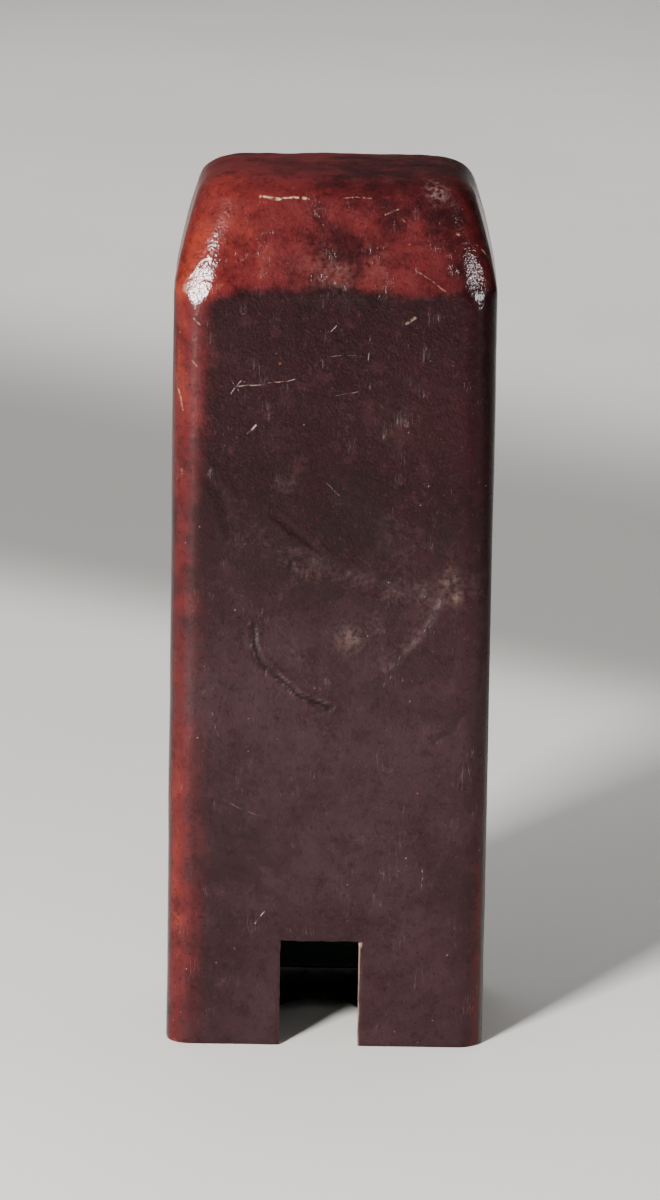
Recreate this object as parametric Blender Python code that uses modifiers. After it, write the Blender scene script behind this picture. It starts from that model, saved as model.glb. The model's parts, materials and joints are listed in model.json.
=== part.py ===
"""Leather-covered dealing shoe for playing cards, standing on its open mouth.

A tall wooden case, covered in one moulded leather skin, holds a column of cards that lie flat on a
brass gate across its mouth. The gate is hinged for loading and locked by a turn button. A pusher
block inside follows the cards and is moved by a knob that runs in a slot up the back. The top card
of the mouth is drawn through the finger notch in the front and leaves by the slit in the back.

Case frame: X across the width, -Y the front with the notch, +Z from the mouth up to the heel.
"""

import math

import bmesh
import bpy
from mathutils import Vector

MM = 0.001

# ---- driving dimensions ------------------------------------------------------------------------
CARD_LONG = 88.9 * MM
CARD_SHORT = 63.5 * MM
CARD_PLAY_X = 1.3 * MM
CARD_PLAY_Y = 1.5 * MM
LEATHER = 1.4 * MM
BOARD = 4.6 * MM
LINING = 0.7 * MM
GLUE = 0.3 * MM
EDGE_RADIUS = 10.0 * MM
HEEL_CORNER = 15.0 * MM
EDGE_STEPS = 6

STRAIGHT_HEIGHT = 253.0 * MM
TOTAL_HEIGHT = 289.0 * MM
HEEL_SLOPE = math.radians(15.3)
SHOULDER_RADIUS = 12.0 * MM
SHOULDER_STEPS = 3
CROWN_RADIUS = 12.0 * MM
TOP_CORNER = 6.0 * MM
CROWN_STEPS = 5
BOARD_TOP = 250.0 * MM
SPIGOT_BOTTOM = 240.0 * MM
HEEL_GAP = 0.4 * MM

NOTCH_WIDTH = 26.0 * MM
NOTCH_HEIGHT = 36.0 * MM
NOTCH_OFFSET = -2.0 * MM

GATE_BOTTOM = 2.0 * MM
GATE_THICKNESS = 1.6 * MM
GATE_HALF_WIDTH = 44.7 * MM
GATE_SLOT_END = 8.0 * MM
HINGE_X = -46.9 * MM
HINGE_Z = 1.8 * MM
HINGE_HALF_LENGTH = 20.0 * MM
HINGE_SPLIT = 7.0 * MM
KNUCKLE_RADIUS = 1.5 * MM
PIN_RADIUS = 0.75 * MM
RUNNING_FIT = 0.15 * MM
CLEARANCE = 0.3 * MM

EXIT_SLIT = 1.2 * MM
LIP_THICKNESS = 0.8 * MM
LIP_HEIGHT = 5.2 * MM

BUTTON_PIVOT_X = 47.9 * MM
BUTTON_RADIUS = 1.7 * MM
BUTTON_LENGTH = 7.5 * MM
BUTTON_BOTTOM = 0.9 * MM
BUTTON_THICKNESS = 0.9 * MM

PUSHER_PLAY = 0.8 * MM
PUSHER_HEIGHT = 26.0 * MM
FELT = 1.6 * MM
PUSHER_TRAVEL = 203.5 * MM
SPRING_THICKNESS = 0.5 * MM
SPRING_WIDTH = 12.0 * MM

SLOT_WIDTH = 6.0 * MM
SLOT_PLATE_WIDTH = 22.0 * MM
SLOT_PLATE_THICKNESS = 0.9 * MM
SLOT_PLATE_END = 4.5 * MM
STEM_RADIUS = 2.4 * MM
KNOB_HEIGHT = 10.0 * MM
WASHER_THICKNESS = 0.8 * MM
TACK_HEAD_RADIUS = 1.2 * MM
TACK_SHANK_RADIUS = 0.5 * MM
TACK_LENGTH = 4.5 * MM

# ---- worked out from them ----------------------------------------------------------------------
CHANNEL_X = (CARD_LONG + CARD_PLAY_X) / 2
CHANNEL_Y = (CARD_SHORT + CARD_PLAY_Y) / 2
BOARD_X = CHANNEL_X + LINING + GLUE
BOARD_Y = CHANNEL_Y + LINING + GLUE
CARCASS_X = BOARD_X + BOARD
CARCASS_Y = BOARD_Y + BOARD
HALF_WIDTH = CARCASS_X + GLUE + LEATHER
HALF_DEPTH = CARCASS_Y + GLUE + LEATHER
CARCASS_RADIUS = EDGE_RADIUS - LEATHER - GLUE
GATE_TOP = GATE_BOTTOM + GATE_THICKNESS
LIP_BOTTOM = GATE_TOP + EXIT_SLIT
MOUTH_CUT_X = GATE_HALF_WIDTH + 0.8 * MM
MOUTH_CUT_TOP = LIP_BOTTOM + LIP_THICKNESS + GLUE
LINING_BOTTOM = GATE_TOP + 1.4 * MM
LEAF_TOP = 15.0 * MM
LINING_TOP = SPIGOT_BOTTOM - CLEARANCE
HEEL_FELT_BOTTOM = SPIGOT_BOTTOM - GLUE - FELT
PUSHER_TOP = HEEL_FELT_BOTTOM - 0.8 * MM
PUSHER_BOTTOM = PUSHER_TOP - PUSHER_HEIGHT
STEM_Z = PUSHER_BOTTOM + PUSHER_HEIGHT / 2
SLOT_END_RADIUS = SLOT_WIDTH / 2
SLOT_LOW = STEM_Z - PUSHER_TRAVEL - STEM_RADIUS - 0.8 * MM
SLOT_HIGH = STEM_Z + STEM_RADIUS + 0.8 * MM
SLOT_PLATE_Y = HALF_DEPTH + GLUE
WASHER_Y = SLOT_PLATE_Y + SLOT_PLATE_THICKNESS + CLEARANCE
KNOB_Y = WASHER_Y + WASHER_THICKNESS + CLEARANCE
KNOB_REACH = KNOB_Y + KNOB_HEIGHT - HALF_DEPTH

COLLECTION = bpy.data.collections.new("card_dealing_shoe")
CUTTERS = bpy.data.collections.new("cutters")
BODIES = {}
MATERIALS = {}


# ---- scene, materials and bodies ---------------------------------------------------------------
def clear_scene():
    for obj in list(bpy.data.objects):
        bpy.data.objects.remove(obj, do_unlink=True)
    bpy.context.scene.collection.children.link(COLLECTION)
    bpy.context.scene.collection.children.link(CUTTERS)


def make_material(name, color, roughness, metallic=0.0):
    material = bpy.data.materials.new(name)
    material.use_nodes = True
    shader = material.node_tree.nodes["Principled BSDF"]
    shader.inputs["Base Color"].default_value = (*color, 1.0)
    shader.inputs["Roughness"].default_value = roughness
    shader.inputs["Metallic"].default_value = metallic
    MATERIALS[name] = material


def make_body(name, pivot, parent=None):
    """An empty on the body's joint axis. Every part of the body is parented to it."""
    empty = bpy.data.objects.new(name + "_axis", None)
    COLLECTION.objects.link(empty)
    offset = BODIES[parent][1] if parent else Vector((0, 0, 0))
    empty.location = Vector(pivot) - offset
    if parent:
        empty.parent = BODIES[parent][0]
    BODIES[name] = (empty, Vector(pivot))


# ---- shapes, all in the case frame -------------------------------------------------------------
def add_object(name, bm, body="case", material=None):
    """Links a bmesh that is drawn in the case frame, with the object's origin on its body's axis."""
    empty, pivot = BODIES[body]
    bmesh.ops.translate(bm, verts=bm.verts, vec=-pivot)
    mesh = bpy.data.meshes.new(name)
    bm.to_mesh(mesh)
    bm.free()
    obj = bpy.data.objects.new(name, mesh)
    obj.parent = empty
    if material is None:
        CUTTERS.objects.link(obj)
        obj.hide_render = True
        obj.display_type = "WIRE"
    else:
        COLLECTION.objects.link(obj)
        mesh.materials.append(MATERIALS[material])
    return obj


def box_mesh(low, high):
    bm = bmesh.new()
    bmesh.ops.create_cube(bm, size=1.0)
    low, high = Vector(low), Vector(high)
    bmesh.ops.scale(bm, verts=bm.verts, vec=high - low)
    bmesh.ops.translate(bm, verts=bm.verts, vec=(low + high) / 2)
    return bm


def box(name, low, high, body="case", material=None):
    return add_object(name, box_mesh(low, high), body, material)


def turn_to(bm, axis):
    """Turns a mesh drawn along +Z so that it runs along the given axis."""
    turn = Vector((0, 0, 1)).rotation_difference(Vector(axis)).to_matrix()
    bmesh.ops.rotate(bm, verts=bm.verts, cent=(0, 0, 0), matrix=turn)


def rod_mesh(radius, start, end, steps=24):
    """A cylinder from one point to another."""
    start, end = Vector(start), Vector(end)
    bm = bmesh.new()
    bmesh.ops.create_cone(
        bm, cap_ends=True, segments=steps, radius1=radius, radius2=radius,
        depth=(end - start).length,
    )
    turn_to(bm, end - start)
    bmesh.ops.translate(bm, verts=bm.verts, vec=(start + end) / 2)
    return bm


def rod(name, radius, start, end, body="case", material=None, steps=24):
    return add_object(name, rod_mesh(radius, start, end, steps), body, material)


def turned(name, profile, base, axis, body, material, steps=24):
    """A turned piece: (radius, height) points down its outer side, spun about an axis through base."""
    bm = bmesh.new()
    points = [bm.verts.new((radius, 0, height)) for radius, height in profile]
    for first, second in zip(points, points[1:]):
        bm.edges.new((first, second))
    if profile[0][0] > 0:
        bm.edges.new((points[-1], points[0]))
    mesh = bpy.data.meshes.new(name)
    bm.to_mesh(mesh)
    bm.free()
    obj = bpy.data.objects.new(name, mesh)
    empty, pivot = BODIES[body]
    obj.parent = empty
    obj.location = Vector(base) - pivot
    obj.rotation_euler = Vector((0, 0, 1)).rotation_difference(Vector(axis)).to_euler()
    COLLECTION.objects.link(obj)
    mesh.materials.append(MATERIALS[material])
    screw = obj.modifiers.new("turn", "SCREW")
    screw.steps = steps
    screw.render_steps = steps
    screw.use_merge_vertices = True
    screw.merge_threshold = 0.00001
    return obj


def outline_mesh(points, low, high):
    """A flat outline in X and Y, as a filled 2D curve, thickened from one height to another."""
    curve = bpy.data.curves.new("outline", "CURVE")
    curve.dimensions = "2D"
    curve.fill_mode = "BOTH"
    curve.extrude = (high - low) / 2
    spline = curve.splines.new("POLY")
    spline.points.add(len(points) - 1)
    for spot, (x, y) in zip(spline.points, points):
        spot.co = (x, y, 0, 1)
    spline.use_cyclic_u = True
    holder = bpy.data.objects.new("outline", curve)
    CUTTERS.objects.link(holder)
    graph = bpy.context.evaluated_depsgraph_get()
    mesh = bpy.data.meshes.new_from_object(holder.evaluated_get(graph))
    bpy.data.objects.remove(holder, do_unlink=True)
    bm = bmesh.new()
    bm.from_mesh(mesh)
    bmesh.ops.remove_doubles(bm, verts=bm.verts, dist=0.000001)
    bmesh.ops.recalc_face_normals(bm, faces=bm.faces)
    bmesh.ops.translate(bm, verts=bm.verts, vec=(0, 0, (low + high) / 2))
    return bm


def prism(name, points, low, high, body="case", material=None):
    return add_object(name, outline_mesh(points, low, high), body, material)


def arc(center, radius, start, end, steps):
    """Points round part of a circle, from one angle to another in degrees."""
    angles = [math.radians(start + (end - start) * i / steps) for i in range(steps + 1)]
    return [(center[0] + radius * math.cos(a), center[1] + radius * math.sin(a)) for a in angles]


def stadium(x, low, high, radius, steps=8):
    """An upright slot outline with round ends, its two centres one above the other."""
    return arc((x, high), radius, 0, 180, steps) + arc((x, low), radius, 180, 360, steps)


def cut(target, *cutters, operation="DIFFERENCE"):
    for cutter in cutters:
        modifier = target.modifiers.new(operation.lower(), "BOOLEAN")
        modifier.operation = operation
        modifier.object = cutter


def join(target, *others):
    cut(target, *others, operation="UNION")


def smooth(*objects):
    for obj in objects:
        obj.data.shade_smooth()
        obj.data.set_sharp_from_angle(angle=math.radians(35))


# ---- the tapered heel form, which the leather and the heel block share --------------------------
def heel_profile(inset, low):
    """Points up the form's side, as (distance in from the side, height): straight, taper, round top."""
    shoulder_radius = SHOULDER_RADIUS - inset
    crown_radius = CROWN_RADIUS - inset
    shoulder_z = STRAIGHT_HEIGHT - SHOULDER_RADIUS * math.tan(HEEL_SLOPE / 2)
    rise = TOTAL_HEIGHT - CROWN_RADIUS - STRAIGHT_HEIGHT + CROWN_RADIUS * math.sin(HEEL_SLOPE)
    crown_in = rise * math.tan(HEEL_SLOPE) + CROWN_RADIUS * math.cos(HEEL_SLOPE)
    crown_z = TOTAL_HEIGHT - CROWN_RADIUS
    points = [(inset, low, EDGE_RADIUS - inset)]
    for step in range(SHOULDER_STEPS + 1):
        angle = HEEL_SLOPE * step / SHOULDER_STEPS
        inward = SHOULDER_RADIUS - shoulder_radius * math.cos(angle)
        points.append((inward, shoulder_z + shoulder_radius * math.sin(angle), EDGE_RADIUS - inset))
    for step in range(CROWN_STEPS + 1):
        angle = HEEL_SLOPE + (math.pi / 2 - HEEL_SLOPE) * step / CROWN_STEPS
        reach = crown_radius * math.cos(angle)
        share = reach / crown_radius
        corner = TOP_CORNER + share * (HEEL_CORNER - inset - TOP_CORNER)
        points.append((crown_in - reach, crown_z + crown_radius * math.sin(angle), corner))
    return points


def heel_form(inset, low):
    """The case's outside moved in by inset on every side: a loft through round-cornered rectangles."""
    bm = bmesh.new()
    rings = []
    for inward, height, corner in heel_profile(inset, low):
        center = (HALF_WIDTH - inward - corner, HALF_DEPTH - inward - corner)
        ring = []
        for quarter, (side_x, side_y) in enumerate(((1, 1), (-1, 1), (-1, -1), (1, -1))):
            start = 90 * quarter
            middle = (side_x * center[0], side_y * center[1])
            ring += arc(middle, corner, start, start + 90, EDGE_STEPS)
        rings.append([bm.verts.new((x, y, height)) for x, y in ring])
    for below, above in zip(rings, rings[1:]):
        for index, vert in enumerate(below):
            after = (index + 1) % len(below)
            bm.faces.new((vert, below[after], above[after], above[index]))
    bm.faces.new(rings[-1])
    bm.faces.new(reversed(rings[0]))
    return bm


# ---- wooden carcass ----------------------------------------------------------------------------
def carcass_corner(start, end, steps):
    """Points round the carcass's corner at +X and +Y."""
    center = (CARCASS_X - CARCASS_RADIUS, CARCASS_Y - CARCASS_RADIUS)
    return arc(center, CARCASS_RADIUS, start, end, steps)


def joint_angle(height):
    """Where the round corner crosses the joint between two boards, in degrees."""
    rise = height - (CARCASS_Y - CARCASS_RADIUS)
    return math.degrees(math.asin(rise / CARCASS_RADIUS))


def face_board(name, side):
    """The front board (side -1) or the back board (side 1), with the round outer corners."""
    corner = carcass_corner(joint_angle(BOARD_Y), 90, 5)
    outer = corner + [(-x, y) for x, y in reversed(corner)]
    outline = outer + [(outer[-1][0], BOARD_Y), (outer[0][0], BOARD_Y)]
    return prism(name, [(x, side * y) for x, y in outline], 0, BOARD_TOP, material="beech")


def cheek_board(name, side):
    """The left board (side -1) or the right board (side 1), between the other two."""
    edge = BOARD_Y - GLUE
    corner = carcass_corner(0, joint_angle(edge), 2)
    outer = [(x, -y) for x, y in reversed(corner)] + corner
    outline = outer + [(BOARD_X, edge), (BOARD_X, -edge)]
    return prism(name, [(side * x, y) for x, y in outline], 0, BOARD_TOP, material="beech")


def notch_outline(margin):
    half = NOTCH_WIDTH / 2 + margin
    return NOTCH_OFFSET - half, NOTCH_OFFSET + half, NOTCH_HEIGHT + margin


def back_slot_cutter(name, width_margin, near, far):
    """A tall slot with round ends, cut through the back from y near to y far."""
    radius = SLOT_END_RADIUS + width_margin
    bm = outline_mesh(
        stadium(0, SLOT_LOW + SLOT_END_RADIUS, SLOT_HIGH - SLOT_END_RADIUS, radius), -far, -near
    )
    turn_to_back(bm)
    return add_object(name, bm)


def turn_to_back(bm):
    """Turns an outline drawn in X and Y upright: its Y becomes Z and its thickness runs along -Y."""
    for vert in bm.verts:
        vert.co = (vert.co.x, -vert.co.z, vert.co.y)


def make_carcass(tack_holes):
    front = face_board("front_board", -1)
    back = face_board("back_board", 1)
    left = cheek_board("left_board", -1)
    right = cheek_board("right_board", 1)

    low_x, high_x, top = notch_outline(0)
    notch = box("notch_cutter", (low_x, -HALF_DEPTH - MM, -MM), (high_x, -CHANNEL_Y - GLUE, top))
    cut(front, notch)

    mouth_cut = box(
        "mouth_cutter",
        (-MOUTH_CUT_X, BOARD_Y - 2 * MM, -MM),
        (MOUTH_CUT_X, HALF_DEPTH + MM, MOUTH_CUT_TOP),
    )
    slot = back_slot_cutter("slot_cutter", 0, CHANNEL_Y - MM, HALF_DEPTH + 3 * MM)
    cut(back, mouth_cut, slot, tack_holes)

    hinge_recess = box(
        "hinge_recess_cutter",
        (HINGE_X - KNUCKLE_RADIUS - 0.4 * MM, -HINGE_HALF_LENGTH - MM, -MM),
        (-BOARD_X + MM, HINGE_HALF_LENGTH + MM, HINGE_Z + KNUCKLE_RADIUS + 0.5 * MM),
    )
    cut(left, hinge_recess)
    button_recess = box(
        "button_recess_cutter",
        (BOARD_X - MM, -BUTTON_RADIUS - MM, -MM),
        (BUTTON_PIVOT_X + BUTTON_RADIUS + 0.3 * MM, BUTTON_LENGTH + 1.5 * MM, 2.1 * MM),
    )
    button_bore = rod(
        "button_bore_cutter", PIN_RADIUS + RUNNING_FIT,
        (BUTTON_PIVOT_X, 0, -MM), (BUTTON_PIVOT_X, 0, 11.5 * MM),
    )
    cut(right, button_recess, button_bore)

    heel = add_object(
        "heel_block", heel_form(LEATHER + HEEL_GAP, BOARD_TOP + GLUE), material="beech"
    )
    spigot = box(
        "spigot_joiner",
        (-BOARD_X + GLUE, -BOARD_Y + GLUE, SPIGOT_BOTTOM),
        (BOARD_X - GLUE, BOARD_Y - GLUE, BOARD_TOP + 10 * MM),
    )
    join(heel, spigot)
    smooth(front, back, left, right, heel)
    return front, back, left, right, notch, mouth_cut, slot


def make_leather(notch, mouth_cut, slot, tack_holes):
    cover = add_object("leather_cover", heel_form(0, 0.15 * MM), material="leather")
    inside = add_object("leather_inside_cutter", heel_form(LEATHER, -5 * MM))
    cut(cover, inside, notch, mouth_cut, slot, tack_holes)
    smooth(cover)


# ---- baize lining ------------------------------------------------------------------------------
def make_lining():
    """Four glued sheets. The left one stops above the hinge leaf."""
    low_x, high_x, top = notch_outline(0.8 * MM)
    cheek_y = CHANNEL_Y - GLUE
    front = box(
        "lining_front",
        (-BOARD_X + GLUE, -CHANNEL_Y - LINING, LINING_BOTTOM),
        (BOARD_X - GLUE, -CHANNEL_Y, LINING_TOP),
        material="baize",
    )
    cut(front, box("lining_notch_cutter", (low_x, -BOARD_Y, 0), (high_x, -CHANNEL_Y + MM, top)))
    back = box(
        "lining_back",
        (-BOARD_X + GLUE, CHANNEL_Y, MOUTH_CUT_TOP),
        (BOARD_X - GLUE, CHANNEL_Y + LINING, LINING_TOP),
        material="baize",
    )
    cut(back, back_slot_cutter("lining_slot_cutter", 0.5 * MM, CHANNEL_Y - MM, BOARD_Y))
    for name, side, bottom in (
        ("lining_left", -1, LEAF_TOP + CLEARANCE),
        ("lining_right", 1, LINING_BOTTOM),
    ):
        inner, outer = sorted((side * CHANNEL_X, side * (CHANNEL_X + LINING)))
        box(name, (inner, -cheek_y, bottom), (outer, cheek_y, LINING_TOP), material="baize")
    box(
        "heel_felt",
        (-CHANNEL_X + MM, -CHANNEL_Y + MM, HEEL_FELT_BOTTOM),
        (CHANNEL_X - MM, CHANNEL_Y - MM, HEEL_FELT_BOTTOM + FELT),
        material="baize",
    )


# ---- mouth gate, its hinge and its turn button --------------------------------------------------
def countersunk(name, base, axis, length, body, material="brass"):
    """A flat-headed wood screw. Its head's face is at base and its point lies the other way."""
    head = 1.6 * MM
    profile = [
        (0, 0),
        (head, 0),
        (head, -0.1 * MM),
        (PIN_RADIUS, -0.75 * MM),
        (PIN_RADIUS, -length + 1.2 * MM),
        (0, -length),
    ]
    screw = turned(name, profile, base, axis, body, material, steps=16)
    groove = box_mesh((-2 * MM, -0.2 * MM, -0.25 * MM), (2 * MM, 0.2 * MM, MM))
    turn_to(groove, axis)
    bmesh.ops.translate(groove, verts=groove.verts, vec=base)
    cut(screw, add_object(name + "_groove_cutter", groove, body))
    smooth(screw)
    return screw


def countersink_cutter(name, base, axis, length, body):
    """The hole that such a screw sits in, with a running clearance all round."""
    head = 1.6 * MM + 2 * RUNNING_FIT
    shank = PIN_RADIUS + RUNNING_FIT
    bm = bmesh.new()
    bmesh.ops.create_cone(
        bm, cap_ends=True, segments=16, radius1=shank, radius2=head, depth=0.8 * MM
    )
    bmesh.ops.translate(bm, verts=bm.verts, vec=(0, 0, -0.4 * MM + 0.02 * MM))
    turn_to(bm, axis)
    bmesh.ops.translate(bm, verts=bm.verts, vec=base)
    sink = add_object(name + "_sink_cutter", bm, body)
    tip = Vector(base) - Vector(axis) * length
    bore = rod(name + "_bore_cutter", shank, base, tip, body, steps=16)
    return sink, bore


def make_hinge(left_board):
    axis_point = (HINGE_X, HINGE_Z)
    bore_radius = PIN_RADIUS + RUNNING_FIT
    ends = HINGE_HALF_LENGTH + MM
    bore = rod(
        "hinge_bore_cutter", bore_radius,
        (axis_point[0], -ends, axis_point[1]), (axis_point[0], ends, axis_point[1]), "gate",
    )

    leaf = box(
        "hinge_leaf",
        (-BOARD_X + GLUE, -HINGE_HALF_LENGTH, HINGE_Z),
        (-BOARD_X + GLUE + 0.8 * MM, HINGE_HALF_LENGTH, LEAF_TOP),
        material="brass",
    )
    gate_room = box(
        "leaf_window_cutter",
        (-BOARD_X - MM, -HINGE_SPLIT - CLEARANCE / 2, 0),
        (-BOARD_X + 2 * MM, HINGE_SPLIT + CLEARANCE / 2, GATE_TOP + 0.2 * MM),
    )
    cut(leaf, gate_room)
    for side in (-1, 1):
        near, far = side * (HINGE_SPLIT + CLEARANCE / 2), side * HINGE_HALF_LENGTH
        join(leaf, rod(
            f"fixed_knuckle_joiner_{side}", KNUCKLE_RADIUS,
            (HINGE_X, near, HINGE_Z), (HINGE_X, far, HINGE_Z),
        ))
    cut(leaf, bore)
    for index, y in enumerate((-14 * MM, 0, 14 * MM), start=1):
        base = (-BOARD_X + GLUE + 0.8 * MM, y, 10 * MM)
        name = f"hinge_screw_{index}"
        countersunk(name, base, (1, 0, 0), 4.2 * MM, "case")
        sink, hole = countersink_cutter(name, base, (1, 0, 0), 4.6 * MM, "case")
        cut(leaf, sink, hole)
        cut(left_board, hole)
    smooth(leaf)

    rod(
        "hinge_pin", PIN_RADIUS,
        (HINGE_X, -HINGE_HALF_LENGTH, HINGE_Z), (HINGE_X, HINGE_HALF_LENGTH, HINGE_Z),
        material="steel",
    )
    return bore


def make_gate(hinge_bore):
    """The brass plate that the cards lie on, with a finger slot open at the front."""
    gate = box(
        "gate_plate",
        (-GATE_HALF_WIDTH, -CHANNEL_Y + CLEARANCE, GATE_BOTTOM),
        (GATE_HALF_WIDTH, HALF_DEPTH - 0.2 * MM, GATE_TOP),
        "gate", "brass",
    )
    half_slot = NOTCH_WIDTH / 2 + 0.5 * MM
    mouth = -CHANNEL_Y - MM
    round_end = arc((NOTCH_OFFSET, GATE_SLOT_END - half_slot), half_slot, 0, 180, 16)
    slot = [(NOTCH_OFFSET + half_slot, mouth), *round_end, (NOTCH_OFFSET - half_slot, mouth)]
    finger_slot = prism("finger_slot_cutter", slot, 0, 2 * GATE_TOP, "gate")
    knuckle = rod(
        "gate_knuckle_joiner", KNUCKLE_RADIUS,
        (HINGE_X, -HINGE_SPLIT + CLEARANCE / 2, HINGE_Z), (HINGE_X, HINGE_SPLIT - CLEARANCE / 2, HINGE_Z),
        "gate",
    )
    tab = box(
        "gate_tab_joiner",
        (HINGE_X + 0.4 * MM, -HINGE_SPLIT + CLEARANCE / 2, GATE_BOTTOM),
        (-GATE_HALF_WIDTH + 2 * MM, HINGE_SPLIT - CLEARANCE / 2, GATE_BOTTOM + MM),
        "gate",
    )
    cut(gate, finger_slot)
    join(gate, tab, knuckle)
    cut(gate, hinge_bore)
    smooth(gate)


def make_turn_button():
    """The catch, stored unlocked along the right board. Turned by 90 degrees it holds the gate shut."""
    tip = (BUTTON_PIVOT_X, BUTTON_LENGTH - BUTTON_RADIUS)
    outline = arc((BUTTON_PIVOT_X, 0), BUTTON_RADIUS, 180, 360, 10)
    outline += arc(tip, BUTTON_RADIUS, 0, 180, 10)
    top = BUTTON_BOTTOM + BUTTON_THICKNESS
    button = prism("turn_button", outline, BUTTON_BOTTOM, top, "catch", "brass")
    bore = rod(
        "button_hole_cutter", PIN_RADIUS + RUNNING_FIT,
        (BUTTON_PIVOT_X, 0, 0), (BUTTON_PIVOT_X, 0, 4 * MM), "catch",
    )
    cut(button, bore)
    smooth(button)
    head = 1.5 * MM
    profile = [
        (0, 10.5 * MM),
        (PIN_RADIUS, 9.5 * MM),
        (PIN_RADIUS, 0.6 * MM),
        (head, 0.6 * MM),
        (head * 0.8, 0.1 * MM),
        (0, 0),
    ]
    smooth(turned(
        "turn_button_screw", profile, (BUTTON_PIVOT_X, 0, 0.2 * MM), (0, 0, 1), "case", "brass",
    ))


# ---- exit lip, slot plate and their tacks -------------------------------------------------------
def tack_places():
    """Where the round-headed tacks stand on the back: five in the lip and six in the slot plate."""
    lip_face = SLOT_PLATE_Y + LIP_THICKNESS
    lip_z = LIP_BOTTOM + LIP_HEIGHT * 0.6
    places = [(f"lip_tack_{i + 1}", (x * MM, lip_face, lip_z)) for i, x in
              enumerate((-40, -20, 0, 20, 40))]
    plate_face = SLOT_PLATE_Y + SLOT_PLATE_THICKNESS
    plate_x = SLOT_PLATE_WIDTH / 2 - 2.3 * MM
    middle = (SLOT_LOW + SLOT_HIGH) / 2
    reach = (SLOT_HIGH - SLOT_LOW) / 2 - 8 * MM
    for row in (-1, 0, 1):
        for side in (-1, 1):
            name = f"plate_tack_{len(places) - 4}"
            places.append((name, (side * plate_x, plate_face, middle + row * reach)))
    return places


def make_tacks():
    """Domed tacks driven through the brass into the back board, and one cutter for their holes."""
    rise = 0.7 * MM
    dome = [(TACK_HEAD_RADIUS * math.sin(a), 0.2 * MM + rise * math.cos(a))
            for a in (math.radians(step * 22.5) for step in range(5))]
    profile = dome + [
        (TACK_SHANK_RADIUS, 0.2 * MM),
        (TACK_SHANK_RADIUS, -TACK_LENGTH + MM),
        (0, -TACK_LENGTH),
    ]
    holes = bmesh.new()
    for name, (x, y, z) in tack_places():
        smooth(turned(name, profile, (x, y, z), (0, 1, 0), "case", "brass", steps=12))
        hole = rod_mesh(TACK_SHANK_RADIUS + RUNNING_FIT, (x, y + MM, z), (x, y - 5 * MM, z), 12)
        mesh = bpy.data.meshes.new("hole")
        hole.to_mesh(mesh)
        hole.free()
        holes.from_mesh(mesh)
        bpy.data.meshes.remove(mesh)
    return add_object("tack_holes_cutter", holes)


def make_exit_lip(tack_holes):
    """A brass angle round the back board's bottom edge, so that the cards slide out on metal."""
    outer = SLOT_PLATE_Y + LIP_THICKNESS
    half = GATE_HALF_WIDTH + 0.2 * MM
    lip = box(
        "exit_lip",
        (-half, SLOT_PLATE_Y, LIP_BOTTOM), (half, outer, LIP_BOTTOM + LIP_HEIGHT),
        material="brass",
    )
    foot = box(
        "lip_foot_joiner",
        (-half, BOARD_Y + GLUE, LIP_BOTTOM),
        (half, outer - 0.2 * MM, LIP_BOTTOM + LIP_THICKNESS),
    )
    join(lip, foot)
    cut(lip, tack_holes)


def make_slot_plate(tack_holes):
    radius = SLOT_PLATE_WIDTH / 2
    low = SLOT_LOW - SLOT_PLATE_END + radius
    high = SLOT_HIGH + SLOT_PLATE_END - radius
    bm = outline_mesh(
        stadium(0, low, high, radius, 10), -SLOT_PLATE_Y - SLOT_PLATE_THICKNESS, -SLOT_PLATE_Y
    )
    turn_to_back(bm)
    bmesh.ops.recalc_face_normals(bm, faces=bm.faces)
    plate = add_object("slot_plate", bm, material="brass")
    cut(plate, back_slot_cutter("plate_slot_cutter", 0.1 * MM, HALF_DEPTH, HALF_DEPTH + 3 * MM))
    cut(plate, tack_holes)
    smooth(plate)


# ---- pusher ------------------------------------------------------------------------------------
def spring_line():
    """The brake spring's middle line, x and z for the right side: a flat tab, then a shallow bow."""
    tab_x = CHANNEL_X - 2.0 * MM
    bow = CHANNEL_X - CLEARANCE - SPRING_THICKNESS / 2 - tab_x
    tab_low = PUSHER_TOP - 8 * MM
    bow_low = PUSHER_BOTTOM + 3 * MM
    points = [(tab_x, PUSHER_TOP - 2.5 * MM)]
    for step in range(13):
        share = step / 12
        height = tab_low + (bow_low - tab_low) * share
        points.append((tab_x + bow * math.sin(math.pi * share) ** 2, height))
    return points


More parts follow.
